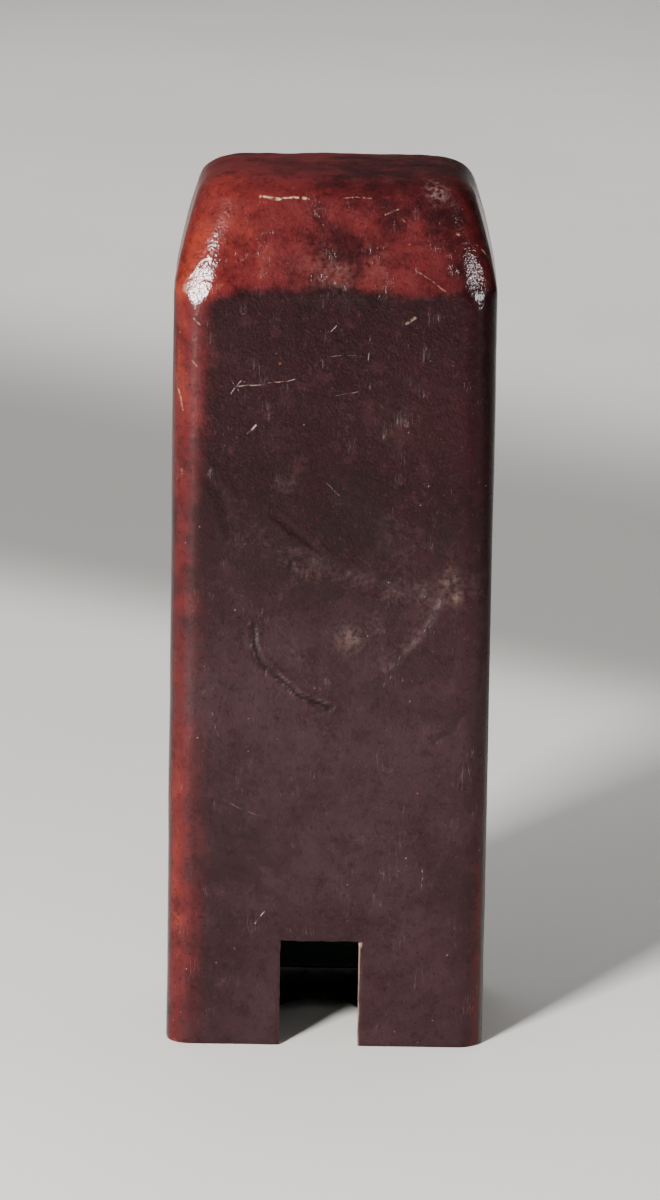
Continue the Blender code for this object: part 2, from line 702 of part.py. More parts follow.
def make_brake_spring(side, block):
    label = "left" if side < 0 else "right"
    pocket = box(
        f"spring_pocket_cutter_{label}",
        (side * (CHANNEL_X - 2.6 * MM), -SPRING_WIDTH / 2 - MM, PUSHER_BOTTOM + MM),
        (side * (CHANNEL_X + MM), SPRING_WIDTH / 2 + MM, PUSHER_TOP - MM),
        "pusher",
    )
    bmesh_fix_normals(pocket)
    cut(block, pocket)
    bm = bmesh.new()
    rows = [[bm.verts.new((side * x, y, z)) for x, z in spring_line()]
            for y in (-SPRING_WIDTH / 2, SPRING_WIDTH / 2)]
    for index in range(len(rows[0]) - 1):
        bm.faces.new((rows[0][index], rows[0][index + 1], rows[1][index + 1], rows[1][index]))
    spring = add_object(f"brake_spring_{label}", bm, "pusher", "steel")
    skin = spring.modifiers.new("skin", "SOLIDIFY")
    skin.thickness = SPRING_THICKNESS
    skin.offset = 0
    z = PUSHER_TOP - 5.2 * MM
    face = side * (CHANNEL_X - 2.0 * MM + SPRING_THICKNESS / 2 + 0.1 * MM)
    axis = (side, 0, 0)
    profile = [(0, 0.7 * MM), (MM, 0.6 * MM), (1.4 * MM, 0), (0.7 * MM, 0),
               (0.7 * MM, -5 * MM), (0, -6 * MM)]
    screw = turned(f"spring_screw_{label}", profile, (face, 0, z), axis, "pusher", "brass", 12)
    hole = rod(
        f"spring_hole_cutter_{label}", 0.8 * MM,
        (face + side * MM, 0, z), (face - side * 6.5 * MM, 0, z), "pusher", steps=12,
    )
    cut(spring, hole)
    cut(block, hole)
    smooth(spring, screw)


def bmesh_fix_normals(obj):
    """Turns the faces outwards after a box was drawn with its corners swapped."""
    bm = bmesh.new()
    bm.from_mesh(obj.data)
    bmesh.ops.recalc_face_normals(bm, faces=bm.faces)
    bm.to_mesh(obj.data)
    bm.free()


def make_pusher():
    half_x = CHANNEL_X - PUSHER_PLAY
    half_y = CHANNEL_Y - PUSHER_PLAY
    block = box(
        "pusher_block", (-half_x, -half_y, PUSHER_BOTTOM), (half_x, half_y, PUSHER_TOP),
        "pusher", "walnut",
    )
    box(
        "pusher_felt",
        (-half_x + MM, -half_y + MM, PUSHER_BOTTOM - GLUE - FELT),
        (half_x - MM, half_y - MM, PUSHER_BOTTOM - GLUE),
        "pusher", "baize",
    )
    for side in (-1, 1):
        make_brake_spring(side, block)

    insert_radius = 4.2 * MM
    insert_depth = 10 * MM
    bush = rod(
        "stem_bush", insert_radius, (0, half_y - insert_depth, STEM_Z), (0, half_y, STEM_Z),
        "pusher", "brass",
    )
    stem_room = rod(
        "stem_bore_cutter", STEM_RADIUS + RUNNING_FIT,
        (0, half_y - insert_depth - MM, STEM_Z), (0, half_y + MM, STEM_Z), "pusher",
    )
    cut(bush, stem_room)
    cut(block, rod(
        "bush_bore_cutter", insert_radius + RUNNING_FIT,
        (0, half_y - insert_depth - 0.2 * MM, STEM_Z), (0, half_y + MM, STEM_Z), "pusher",
    ))
    stem_end = KNOB_Y + 0.55 * KNOB_HEIGHT
    stem = rod(
        "knob_stem", STEM_RADIUS,
        (0, half_y - insert_depth + CLEARANCE, STEM_Z), (0, stem_end, STEM_Z), "pusher", "steel",
    )
    bore = STEM_RADIUS + RUNNING_FIT
    washer = turned(
        "knob_washer",
        [(bore, WASHER_THICKNESS), (6.5 * MM, WASHER_THICKNESS), (6.5 * MM, 0), (bore, 0)],
        (0, WASHER_Y, STEM_Z), (0, 1, 0), "pusher", "brass", 32,
    )
    knob_profile = [
        (0, 10.0), (3.0, 9.8), (5.6, 9.0), (7.0, 7.6), (7.2, 6.4), (6.4, 5.2), (4.6, 4.4),
        (3.9, 3.4), (4.0, 2.4), (5.4, 1.4), (5.6, 0.0),
    ]
    profile = [(radius * MM, height * MM) for radius, height in knob_profile]
    blind = 0.6 * KNOB_HEIGHT
    profile += [(bore, 0), (bore, blind), (0, blind)]
    knob = turned("knob", profile, (0, KNOB_Y, STEM_Z), (0, 1, 0), "pusher", "brass", 32)
    smooth(bush, stem, washer, knob)


# ---- build -------------------------------------------------------------------------------------
def main():
    clear_scene()
    make_material("leather", (0.075, 0.012, 0.012), 0.35)
    make_material("beech", (0.36, 0.20, 0.10), 0.6)
    make_material("walnut", (0.16, 0.08, 0.045), 0.5)
    make_material("baize", (0.012, 0.055, 0.03), 0.95)
    make_material("brass", (0.55, 0.39, 0.16), 0.35, 1.0)
    make_material("steel", (0.45, 0.45, 0.46), 0.35, 1.0)

    make_body("case", (0, 0, 0))
    BODIES["case"][0].location = (0, -KNOB_REACH / 2, 0)
    make_body("gate", (HINGE_X, 0, HINGE_Z), "case")
    make_body("catch", (BUTTON_PIVOT_X, 0, BUTTON_BOTTOM), "case")
    make_body("pusher", (0, 0, PUSHER_BOTTOM), "case")

    tack_holes = make_tacks()
    front, back, left, right, notch, mouth_cut, slot = make_carcass(tack_holes)
    make_leather(notch, mouth_cut, slot, tack_holes)
    make_lining()
    hinge_bore = make_hinge(left)
    make_gate(hinge_bore)
    make_turn_button()
    make_exit_lip(tack_holes)
    make_slot_plate(tack_holes)
    make_pusher()


main()
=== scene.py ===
"""The look of the leather-covered card dealing shoe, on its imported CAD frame."""

import functools
import json
import math

import bmesh
import bpy
import numpy as np
from mathutils import Matrix, Vector, noise

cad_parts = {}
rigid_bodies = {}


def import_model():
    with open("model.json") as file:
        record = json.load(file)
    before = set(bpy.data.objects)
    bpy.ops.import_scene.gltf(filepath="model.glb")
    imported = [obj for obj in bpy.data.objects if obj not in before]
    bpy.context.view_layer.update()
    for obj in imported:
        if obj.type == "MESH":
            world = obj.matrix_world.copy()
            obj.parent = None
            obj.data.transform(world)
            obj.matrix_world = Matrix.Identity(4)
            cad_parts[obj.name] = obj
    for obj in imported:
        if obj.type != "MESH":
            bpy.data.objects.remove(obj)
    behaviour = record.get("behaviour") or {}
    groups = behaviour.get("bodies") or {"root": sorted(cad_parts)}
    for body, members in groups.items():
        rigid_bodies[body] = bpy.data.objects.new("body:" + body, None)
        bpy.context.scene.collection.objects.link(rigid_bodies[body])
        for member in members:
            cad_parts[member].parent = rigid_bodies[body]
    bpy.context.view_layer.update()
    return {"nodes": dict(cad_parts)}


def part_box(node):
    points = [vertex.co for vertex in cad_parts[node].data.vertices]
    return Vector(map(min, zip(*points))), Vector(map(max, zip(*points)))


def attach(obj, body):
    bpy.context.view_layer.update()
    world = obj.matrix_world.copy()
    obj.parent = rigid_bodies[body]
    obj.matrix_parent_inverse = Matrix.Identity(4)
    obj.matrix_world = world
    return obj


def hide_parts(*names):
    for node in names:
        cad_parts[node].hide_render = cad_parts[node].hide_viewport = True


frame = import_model()
NODES = frame["nodes"]
MM = 0.001

COVER_LOW, COVER_HIGH = (Vector(corner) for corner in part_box("leather_cover"))
CASE_Y = (COVER_LOW.y + COVER_HIGH.y) / 2
HALF_WIDTH = (COVER_HIGH.x - COVER_LOW.x) / 2
HALF_DEPTH = (COVER_HIGH.y - COVER_LOW.y) / 2
FRONT_Y = CASE_Y - HALF_DEPTH
TOP = COVER_HIGH.z
FOOT = COVER_LOW.z

# The leather's form, as in the CAD model.
EDGE_RADIUS = 10.0 * MM
STRAIGHT_HEIGHT = 253.0 * MM
SLOPE = math.radians(15.3)
SHOULDER_RADIUS = 12.0 * MM
CROWN_RADIUS = 12.0 * MM
TOP_CORNER = 6.0 * MM
HEEL_CORNER = 15.0 * MM
FOOT_RADIUS = 8.2 * MM
UPPER_RADIUS = 10.6 * MM
NOTCH_LEFT, NOTCH_RIGHT, NOTCH_TOP = -15.0 * MM, 11.0 * MM, 36.0 * MM
MOUTH_HALF, MOUTH_TOP = 45.5 * MM, 5.9 * MM
SLOT_HALF, SLOT_LOW, SLOT_HIGH = 3.3 * MM, 17.3 * MM, 227.8 * MM
LEATHER_DEPTH = 1.62 * MM


# ---- node materials ----------------------------------------------------------------------------
class Shader:
    """A Principled material with short calls for the nodes that feed it."""

    def __init__(self, name, **values):
        self.material = bpy.data.materials.new(name)
        self.material.use_nodes = True
        self.tree = self.material.node_tree
        self.bsdf = self.tree.nodes["Principled BSDF"]
        for socket, value in values.items():
            self.bsdf.inputs[socket.replace("_", " ")].default_value = value
        self.place = self.node("ShaderNodeTexCoord").outputs["Object"]

    def node(self, kind, **properties):
        made = self.tree.nodes.new(kind)
        for key, value in properties.items():
            setattr(made, key, value)
        return made

    def feed(self, socket, value):
        if isinstance(value, bpy.types.NodeSocket):
            self.tree.links.new(value, socket)
        else:
            socket.default_value = value

    def set(self, socket, value):
        self.feed(self.bsdf.inputs[socket], value)

    def math(self, operation, first, second=0.0):
        made = self.node("ShaderNodeMath", operation=operation)
        self.feed(made.inputs[0], first)
        self.feed(made.inputs[1], second)
        return made.outputs[0]

    def plus(self, first, second):
        return self.math("ADD", first, second)

    def times(self, first, second):
        return self.math("MULTIPLY", first, second)

    def most(self, values):
        return functools.reduce(lambda first, second: self.math("MAXIMUM", first, second), values)

    def vector(self, operation, first, second=(0, 0, 0), scale=None, output=0):
        made = self.node("ShaderNodeVectorMath", operation=operation)
        self.feed(made.inputs[0], first)
        if scale is None:
            self.feed(made.inputs[1], second)
        else:
            self.feed(made.inputs["Scale"], scale)
        return made.outputs[output]

    def stretch(self, scale, turn=(0, 0, 0), place=None):
        made = self.node("ShaderNodeMapping")
        self.feed(made.inputs["Vector"], place or self.place)
        made.inputs["Scale"].default_value = scale
        made.inputs["Rotation"].default_value = turn
        return made.outputs[0]

    def noise(self, scale, detail=4.0, rough=0.55, place=None, warp=0.0):
        made = self.node("ShaderNodeTexNoise")
        self.feed(made.inputs["Vector"], place or self.place)
        made.inputs["Scale"].default_value = scale
        made.inputs["Detail"].default_value = detail
        made.inputs["Roughness"].default_value = rough
        made.inputs["Distortion"].default_value = warp
        return made.outputs["Fac"]

    def cells(self, scale, feature, place):
        made = self.node("ShaderNodeTexVoronoi", feature=feature)
        self.feed(made.inputs["Vector"], place)
        made.inputs["Scale"].default_value = scale
        return made.outputs["Distance"]

    def range(self, value, low, high, start=0.0, end=1.0):
        """Goes smoothly from start to end as the value goes from low to high."""
        made = self.node("ShaderNodeMapRange", clamp=True, interpolation_type="SMOOTHSTEP")
        self.feed(made.inputs[0], value)
        for index, number in enumerate((low, high, start, end), start=1):
            made.inputs[index].default_value = number
        return made.outputs[0]

    def mix(self, share, first, second):
        made = self.node("ShaderNodeMix", data_type="RGBA")
        self.feed(made.inputs[0], share)
        for socket, value in ((made.inputs[6], first), (made.inputs[7], second)):
            self.feed(socket, (*value, 1.0) if isinstance(value, tuple) else value)
        return made.outputs[2]

    def blend(self, share, first, second):
        made = self.node("ShaderNodeMix", data_type="FLOAT")
        self.feed(made.inputs[0], share)
        self.feed(made.inputs[2], first)
        self.feed(made.inputs[3], second)
        return made.outputs[0]

    def mask(self, name):
        return self.node("ShaderNodeAttribute", attribute_name=name).outputs["Fac"]

    def axis(self, index):
        made = self.node("ShaderNodeSeparateXYZ")
        self.feed(made.inputs[0], self.place)
        return made.outputs[index]

    def bump(self, *layers):
        """Each layer is (height, distance in metres, strength)."""
        normal = None
        for height, distance, strength in layers:
            made = self.node("ShaderNodeBump")
            made.inputs["Distance"].default_value = distance
            made.inputs["Strength"].default_value = strength
            self.feed(made.inputs["Height"], height)
            if normal is not None:
                self.feed(made.inputs["Normal"], normal)
            normal = made.outputs[0]
        self.set("Normal", normal)

    def line(self, place, start, end, width):
        """1 along a thin line between two points, and 0 away from it."""
        start, end = Vector(start), Vector(end)
        along = end - start
        away = self.vector("SUBTRACT", place, tuple(start))
        share = self.vector("DOT_PRODUCT", away, tuple(along / along.length_squared), output=1)
        share = self.most([self.math("MINIMUM", share, 1.0), 0.0])
        foot = self.vector("SCALE", tuple(along), scale=share)
        gap = self.vector("DISTANCE", away, foot, output=1)
        return self.range(gap, width, width * 0.3)


# Scratches in the leather's front, as (start, end, half width, strength), in millimetres.
SCRATCHES = [
    ((-31.5, 221.6), (-13.0, 224.5), 0.28, 0.7),
    ((-33.2, 224.0), (-29.4, 218.4), 0.24, 0.7),
    ((-29.6, 223.6), (-33.6, 219.2), 0.22, 0.6),
    ((-34.5, 221.0), (-31.5, 221.6), 0.22, 0.6),
    ((-28.5, 206.5), (-25.5, 209.4), 0.38, 1.0),
    ((-2.0, 231.7), (6.2, 232.7), 0.20, 0.6),
    ((-1.7, 218.6), (11.2, 221.6), 0.22, 0.7),
    ((1.0, 243.4), (-1.2, 240.0), 0.22, 0.7),
    ((10.6, 246.8), (11.4, 218.6), 0.22, 0.6),
    ((25.5, 95.0), (24.0, 74.0), 0.26, 0.7),
    ((31.0, 61.0), (31.6, 54.0), 0.24, 0.7),
    ((-18.0, 48.5), (-23.5, 41.5), 0.28, 0.8),
    ((-42.0, 48.0), (-44.0, 38.5), 0.26, 0.6),
    ((-6.5, 195.4), (4.5, 183.7), 0.16, 0.5),
    ((35.5, 202.2), (39.0, 185.7), 0.15, 0.5),
    ((-40.0, 118.0), (-36.0, 104.0), 0.18, 0.5),
    ((15.0, 30.0), (28.0, 24.0), 0.16, 0.5),
    ((-34.0, 84.0), (-22.0, 78.0), 0.15, 0.5),
    ((5.0, 82.0), (12.5, 90.0), 0.16, 0.5),
]

# Nicks in the front's upper half and the crown, as (start, end, half width, strength), in
# millimetres: x, and height where the nick falls on the front's plane along the crown's slant.
SLANT = 0.172
NICKS = [
    ((-24.6, 283.5), (-19.5, 283.0), 0.48, 0.90),
    ((-20.8, 283.0), (-18.6, 283.0), 0.70, 1.00),
    ((-18.5, 283.1), (-13.0, 283.5), 0.42, 0.90),
    ((-11.6, 283.5), (-9.8, 283.4), 0.60, 0.80),
    ((2.3, 284.0), (10.5, 284.0), 0.29, 0.25),
    ((15.4, 278.5), (20.3, 280.5), 0.38, 0.28),
    ((46.5, 267.7), (48.6, 265.0), 0.40, 0.50),
    ((22.9, 243.0), (25.7, 245.1), 0.56, 0.37),
    ((26.5, 259.8), (35.7, 253.6), 0.24, 0.31),
    ((-50.4, 220.3), (-49.2, 213.4), 0.40, 0.50),
    ((39.2, 273.2), (39.8, 272.6), 0.48, 0.43),
    ((-45.5, 243.4), (-43.8, 241.3), 0.34, 0.37),
    ((-45.2, 229.3), (-44.0, 227.6), 0.32, 0.37),
    ((-49.0, 193.9), (-48.9, 192.6), 0.44, 0.43),
]
CLOUDY_SPOT = (32.0 * MM, 0.0, 285.9 * MM)

# Specks in the leather, as (cells in a metre, size in a cell, rarity, colour).
SPECKS = [(420.0, 0.13, 0.950, (0.36, 0.24, 0.21)), (170.0, 0.085, 0.92, (0.24, 0.075, 0.03))]

DARK = (0.0085, 0.0020, 0.0030)
RED_BROWN = (0.0185, 0.0031, 0.0045)
# Painted light and rubbing: these two reds colour the taper and the upright edges where light falls on them,
# most of all on the left, as well as where the leather is rubbed.
RUBBED_AND_LIT_RED = (0.094, 0.0118, 0.0125)
LIT_AND_RUBBED_BRIGHT_RED = (0.200, 0.0285, 0.0168)


def leather_shader(name, shine):
    """The cover's shader, with the noises and masks that its colour and roughness share."""
    s = Shader(name, IOR=1.45, Specular_IOR_Level=shine)
    bent = s.node("ShaderNodeTexNoise")
    bent.inputs["Scale"].default_value = 90.0
    s.feed(bent.inputs["Vector"], s.place)
    wobble = s.vector("SUBTRACT", bent.outputs["Color"], (0.5, 0.5, 0.5))
    s.wavy = s.vector("ADD", s.place, s.vector("SCALE", wobble, scale=0.003))

    s.cloud = s.noise(16.0, 5.0, 0.6)
    s.patch = s.noise(38.0, 5.0, 0.62)
    s.mottle = s.noise(110.0, 6.0, 0.68)
    s.fine = s.noise(620.0, 4.0, 0.65)
    low_down = s.range(s.axis(2), 0.190, 0.120, 0.03, 1.0)
    s.haze = s.times(low_down, s.range(s.patch, 0.68, 0.36, 0.45, 1.0))

    ragged = s.plus(s.times(s.fine, 0.55), s.times(s.mottle, 0.75))
    ragged = s.plus(s.mask("wear"), ragged)
    s.worn = s.range(ragged, 1.12, 1.36)
    s.bare = s.range(ragged, 1.50, 1.66)
    s.torn = s.mask("torn")
    s.gloss = s.mask("gloss")
    s.scuffs = scratches(s)
    return s


def drawn(s, place, marks, depth, thickness=1.0):
    """The strongest of many thin lines, each (start, end, half width, strength)."""
    lines = []
    for start, end, width, strength in marks:
        ends = [(x * MM, depth, z * MM) for x, z in (start, end)]
        lines.append(s.times(s.line(place, *ends, thickness * width * MM), strength))
    return s.most(lines)


def scratches(s):
    """Broken scratches and faint hairs: 1 on a mark and 0 away from it."""
    marks = drawn(s, s.wavy, SCRATCHES, FRONT_Y, 0.95)
    marks = s.times(marks, s.range(s.noise(520.0, 3.0), 0.43, 0.56, 0.08, 1.0))
    hairs = []
    for turn, size in ((0.5, 55.0), (-0.7, 70.0), (1.4, 60.0)):
        thread = s.noise(size, 2.0, 0.5, s.stretch((14.0, 14.0, 0.9), (0.0, turn, 0.0)))
        thread = s.math("ABSOLUTE", s.math("SUBTRACT", thread, 0.5))
        kept = s.range(s.noise(38.0 + size, 2.0), 0.62, 0.70)
        hairs.append(s.times(s.range(thread, 0.012, 0.002), kept))
    return s.most([marks, s.times(s.most(hairs), 0.22)])


def tint(s, color, value, low, high, share, tone):
    """Mixes a tone in as the value goes from low to high, up to that share."""
    return s.mix(s.range(value, low, high, 0.0, share), color, tone)


def hide_color(s):
    """Dark oxblood, hazy low down, and redder where it is rubbed and where light from above and the left is
    painted on.
    """
    color = s.mix(s.range(s.cloud, 0.36, 0.66), DARK, RED_BROWN)
    color = tint(s, color, s.patch, 0.52, 0.74, 0.7, (0.010, 0.0040, 0.0046))
    color = tint(s, color, s.mottle, 0.50, 0.78, 0.55, (0.040, 0.0075, 0.0085))
    color = s.mix(s.times(s.haze, 0.60), color, (0.047, 0.0220, 0.0262))

    lit_and_rubbed = s.mask("lit_and_rubbed")
    uneven = s.times(s.math("SUBTRACT", s.mottle, 0.5), 0.8)
    uneven = s.plus(uneven, s.times(s.math("SUBTRACT", s.patch, 0.5), 0.9))
    # Painted light and rubbing together, made uneven: the two reds below paint the light on the taper and
    # the left edges as well as the rubbed red.
    light_and_rub = s.plus(lit_and_rubbed, s.times(uneven, s.range(lit_and_rubbed, 0.0, 0.4)))
    color = tint(s, color, light_and_rub, 0.05, 0.50, 0.94, RUBBED_AND_LIT_RED)
    color = tint(s, color, light_and_rub, 0.46, 1.05, 1.0, LIT_AND_RUBBED_BRIGHT_RED)

    color = tint(s, color, s.mottle, 0.50, 0.34, 0.45, (0.020, 0.0042, 0.0052))
    color = tint(s, color, s.fine, 0.56, 0.74, 0.30, (0.078, 0.025, 0.025))
    color = tint(s, color, s.fine, 0.47, 0.30, 0.55, (0.006, 0.0022, 0.0026))
    dust = s.noise(1500.0, 2.0, 0.7)
    return tint(s, color, dust, 0.64, 0.77, 0.32, (0.18, 0.105, 0.095))


def nicked(s, color):
    """Adds the nicks and the cloudy spot, which lie on the front and up the crown's slant."""
    parts = s.node("ShaderNodeSeparateXYZ")
    s.feed(parts.inputs[0], s.wavy)
    behind = s.math("SUBTRACT", parts.outputs[1], FRONT_Y)
    slanted = s.node("ShaderNodeCombineXYZ")
    s.feed(slanted.inputs[0], parts.outputs[0])
    s.feed(slanted.inputs[2], s.plus(parts.outputs[2], s.times(behind, SLANT)))
    slanted = slanted.outputs[0]
    near_front = s.range(behind, 0.022, 0.018)

    nicks = s.times(drawn(s, slanted, NICKS, 0.0), near_front)
    nicks = s.times(nicks, s.range(s.noise(760.0, 3.0), 0.40, 0.56, 0.05, 1.0))
    color = s.mix(nicks, color, (0.42, 0.29, 0.20))
    cloudy = s.vector("DISTANCE", slanted, CLOUDY_SPOT, output=1)
    cloudy = s.times(s.range(cloudy, 0.0058, 0.0004), s.range(s.fine, 0.44, 0.60))
    cloudy = s.times(cloudy, near_front)
    return s.mix(s.times(cloudy, 0.28), color, (0.30, 0.24, 0.23))


def specked(s, color):
    for scale, size, rarity, tone in SPECKS:
        cell = s.node("ShaderNodeTexVoronoi", feature="F1")
        cell.inputs["Scale"].default_value = scale
        s.feed(cell.inputs["Vector"], s.wavy)
        pick = s.node("ShaderNodeSeparateColor")
        s.feed(pick.inputs[0], cell.outputs["Color"])
        dot = s.range(cell.outputs["Distance"], size, size * 0.45)
        dot = s.times(dot, s.range(pick.outputs[0], rarity, rarity + 0.03))
        color = s.mix(s.times(dot, 0.55), color, tone)
    return color


def leather_color(s):
    color = s.mix(s.times(s.worn, 0.60), hide_color(s), (0.23, 0.045, 0.020))
    color = s.mix(s.bare, color, (0.42, 0.23, 0.13))
    color = s.mix(s.times(s.scuffs, 0.70), color, (0.34, 0.23, 0.20))
    color = specked(s, nicked(s, color))
    # Chalky rubs, and the painted highlight along the crack's lower lip.
    chalk_and_lip_highlight = s.times(s.mask("chalk_and_lip_highlight"), s.range(s.fine, 0.38, 0.62, 0.15, 1.0))
    chalk_and_lip_highlight = s.times(chalk_and_lip_highlight, s.range(s.mottle, 0.36, 0.58, 0.25, 1.0))
    color = s.mix(s.times(chalk_and_lip_highlight, 0.70), color, (0.175, 0.115, 0.095))
    # Painted shade along the crack and the narrow folds.
    color = s.mix(s.times(s.mask("fold_shade"), 0.92), color, (0.004, 0.0015, 0.0015))
    return s.mix(s.torn, color, (0.44, 0.28, 0.19))


def leather_roughness(s, smooth):
    rough = s.range(s.cloud, 0.3, 0.7, 0.19, 0.26)
    rough = s.plus(rough, s.times(s.haze, 0.06))
    rough = s.plus(rough, s.times(s.range(s.mottle, 0.4, 0.7), 0.07))
    rough = s.plus(rough, s.times(s.mask("top"), 0.40))
    rough = s.blend(s.gloss, rough, 0.11)
    rough = s.blend(s.times(smooth, 0.8), rough, 0.13)
    rough = s.blend(s.times(s.worn, s.range(s.gloss, 0.5, 0.1)), rough, 0.50)
    rough = s.blend(s.times(s.scuffs, 0.8), rough, 0.7)
    return s.blend(s.torn, rough, 0.9)


def leather_material(name, shine):
    s = leather_shader(name, shine)
    smooth = s.mask("smooth")
    s.set("Base Color", leather_color(s))
    s.set("Roughness", leather_roughness(s, smooth))
    pebble = s.cells(1350.0, "SMOOTH_F1", s.stretch((1.0, 1.0, 0.85), place=s.wavy))
    crackle = s.range(s.cells(620.0, "DISTANCE_TO_EDGE", s.wavy), 0.0, 0.16)
    grain = s.range(smooth, 0.0, 1.0, 1.0, 0.22)
    s.bump(
        (s.noise(260.0, 3.0, 0.55), 0.00040, 0.30),
        (crackle, 0.00004, 0.25),
        (s.times(pebble, grain), 0.00020, 0.42),
        (s.times(s.fine, grain), 0.00020, 0.40),
        (s.times(s.noise(420.0, 3.0, 0.6), s.gloss), 0.0007, 0.45),
        (s.math("SUBTRACT", 1.0, s.scuffs), 0.00025, 0.6),
    )
    return s.material


def cut_leather_material():
    s = Shader("cut_leather_edge", Roughness=0.85)
    layers = s.noise(240.0, 5.0, 0.65, s.stretch((1.0, 3.0, 1.0)))
    color = s.mix(s.range(layers, 0.3, 0.7), (0.030, 0.013, 0.010), (0.15, 0.075, 0.045))
    color = s.mix(s.range(s.noise(130.0, 3.0), 0.58, 0.68), color, (0.40, 0.23, 0.13))
    s.set("Base Color", color)
    s.bump((layers, 0.0006, 0.6))
    return s.material


def wood_material(name, light, dark, grain_turn, rough=0.55):
    """Long fibres along local Z unless turned."""
    s = Shader(name)
    fibres = s.noise(60.0, 6.0, 0.6, s.stretch((6.0, 6.0, 0.35), grain_turn), 0.6)
    pores = s.noise(300.0, 3.0, 0.7, s.stretch((5.0, 5.0, 0.25), grain_turn))
    rings = s.node("ShaderNodeTexWave", wave_type="BANDS", bands_direction="X")
    s.feed(rings.inputs["Vector"], s.stretch((1.0, 1.0, 0.08), grain_turn))
    rings.inputs["Scale"].default_value = 60.0
    rings.inputs["Distortion"].default_value = 5.0
    rings.inputs["Detail"].default_value = 3.0
    grain = s.plus(s.times(fibres, 0.6), s.times(rings.outputs["Fac"], 0.4))
    color = s.mix(s.range(grain, 0.25, 0.8), dark, light)
    color = s.mix(s.range(pores, 0.60, 0.72, 0.0, 0.6), color, tuple(part * 0.4 for part in dark))
    s.set("Base Color", color)
    s.set("Roughness", s.range(grain, 0.2, 0.8, rough + 0.12, rough - 0.06))
    s.bump((pores, 0.0003, 0.35), (grain, 0.0003, 0.25))
    return s.material


def metal_material(name, bright, dull, dirt, rough):
    s = Shader(name, Metallic=1.0)
    cloud = s.noise(55.0, 6.0, 0.65)
    fine = s.noise(520.0, 4.0, 0.6)
    brushed = s.noise(260.0, 3.0, 0.6, s.stretch((0.25, 5.0, 5.0)))
    tarnish = s.range(cloud, 0.42, 0.66)
    color = s.mix(tarnish, bright, dull)
    spots = s.range(s.noise(170.0, 6.0, 0.7), 0.60, 0.70, 0.0, 0.8)
    color = s.mix(spots, color, dirt)
    s.set("Base Color", color)
    level = s.range(cloud, 0.3, 0.7, rough, rough + 0.22)
    level = s.plus(level, s.times(spots, 0.25))
    s.set("Roughness", s.plus(level, s.range(fine, 0.3, 0.7, -0.04, 0.06)))
    s.bump((brushed, 0.00008, 0.35), (s.noise(170.0, 6.0, 0.7), 0.0002, 0.25))
    return s.material


def baize_material():
    s = Shader("green_baize", Roughness=0.95, Sheen_Weight=0.45, Sheen_Roughness=0.5)
    nap = s.noise(850.0, 6.0, 0.75)
    weave = s.noise(330.0, 4.0, 0.6, s.stretch((1.0, 1.0, 2.2)))
    rubbed = s.range(s.noise(22.0, 4.0), 0.45, 0.70)
    color = s.mix(s.range(nap, 0.3, 0.75), (0.004, 0.018, 0.011), (0.016, 0.060, 0.034))
    color = s.mix(s.times(rubbed, 0.5), color, (0.030, 0.062, 0.040))
    s.set("Base Color", color)
    s.bump((weave, 0.0004, 0.5), (nap, 0.0004, 0.8))
    return s.material


# ---- mesh helpers ------------------------------------------------------------------------------
def link(name, mesh, material, body, smooth_angle=40):
    obj = bpy.data.objects.new(name, mesh)
    bpy.context.scene.collection.objects.link(obj)
    mesh.materials.append(material)
    mesh.shade_smooth()
    if smooth_angle:
        mesh.set_sharp_from_angle(angle=math.radians(smooth_angle))
    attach(obj, body)
    return obj


def spread(keys, step):
    """Numbers from the first key to the last, through every key and at most step apart."""
    out = [keys[0]]
    for low, high in zip(keys, keys[1:]):
        count = max(1, math.ceil((high - low) / step - 1e-9))
        out += [low + (high - low) * index / count for index in range(1, count + 1)]
    return out


def cloud_at(points, size, seed):
    """Smooth noise from -1 to 1 at each point, with features of about that size in metres."""
    shift = Vector((seed, seed * 1.7, seed * 2.3))
    values = (noise.noise(Vector(point) / size + shift) for point in points)
    return np.fromiter(values, dtype=float, count=len(points))


def path_distance(x, z, path):
    """How far each (x, z) is from a path of straight runs."""
    nearest = np.full(x.shape, 9.0)
    for (ax, az), (bx, bz) in zip(path, path[1:]):
        run_x, run_z = bx - ax, bz - az
        share = ((x - ax) * run_x + (z - az) * run_z) / (run_x**2 + run_z**2)
        share = np.clip(share, 0, 1)
        nearest = np.minimum(nearest, np.hypot(x - ax - share * run_x, z - az - share * run_z))
    return nearest


def bell(distance, width):
    return np.exp(-((distance / width) ** 2))


# ---- leather cover -----------------------------------------------------------------------------
STRAIGHT_A = HALF_WIDTH - EDGE_RADIUS
STRAIGHT_B = HALF_DEPTH - EDGE_RADIUS
MESH_STEP, SIDE_MESH_STEP, ARC_STEP = 0.85 * MM, 1.2 * MM, 0.115
SHOULDER_ROWS, TAPER_ROWS, CROWN_ROWS = 5, 34, 14
ARC = spread([0.0, math.acos((MOUTH_HALF - STRAIGHT_A) / EDGE_RADIUS), math.pi / 2], ARC_STEP)
X_LINES = spread(
    [-STRAIGHT_A, NOTCH_LEFT - 0.5 * MM, NOTCH_LEFT - 0.2 * MM, NOTCH_LEFT, -SLOT_HALF, SLOT_HALF,
     NOTCH_RIGHT, NOTCH_RIGHT + 0.2 * MM, NOTCH_RIGHT + 0.5 * MM, STRAIGHT_A],
    MESH_STEP,
)
Y_LINES = spread([-STRAIGHT_B, STRAIGHT_B], SIDE_MESH_STEP)


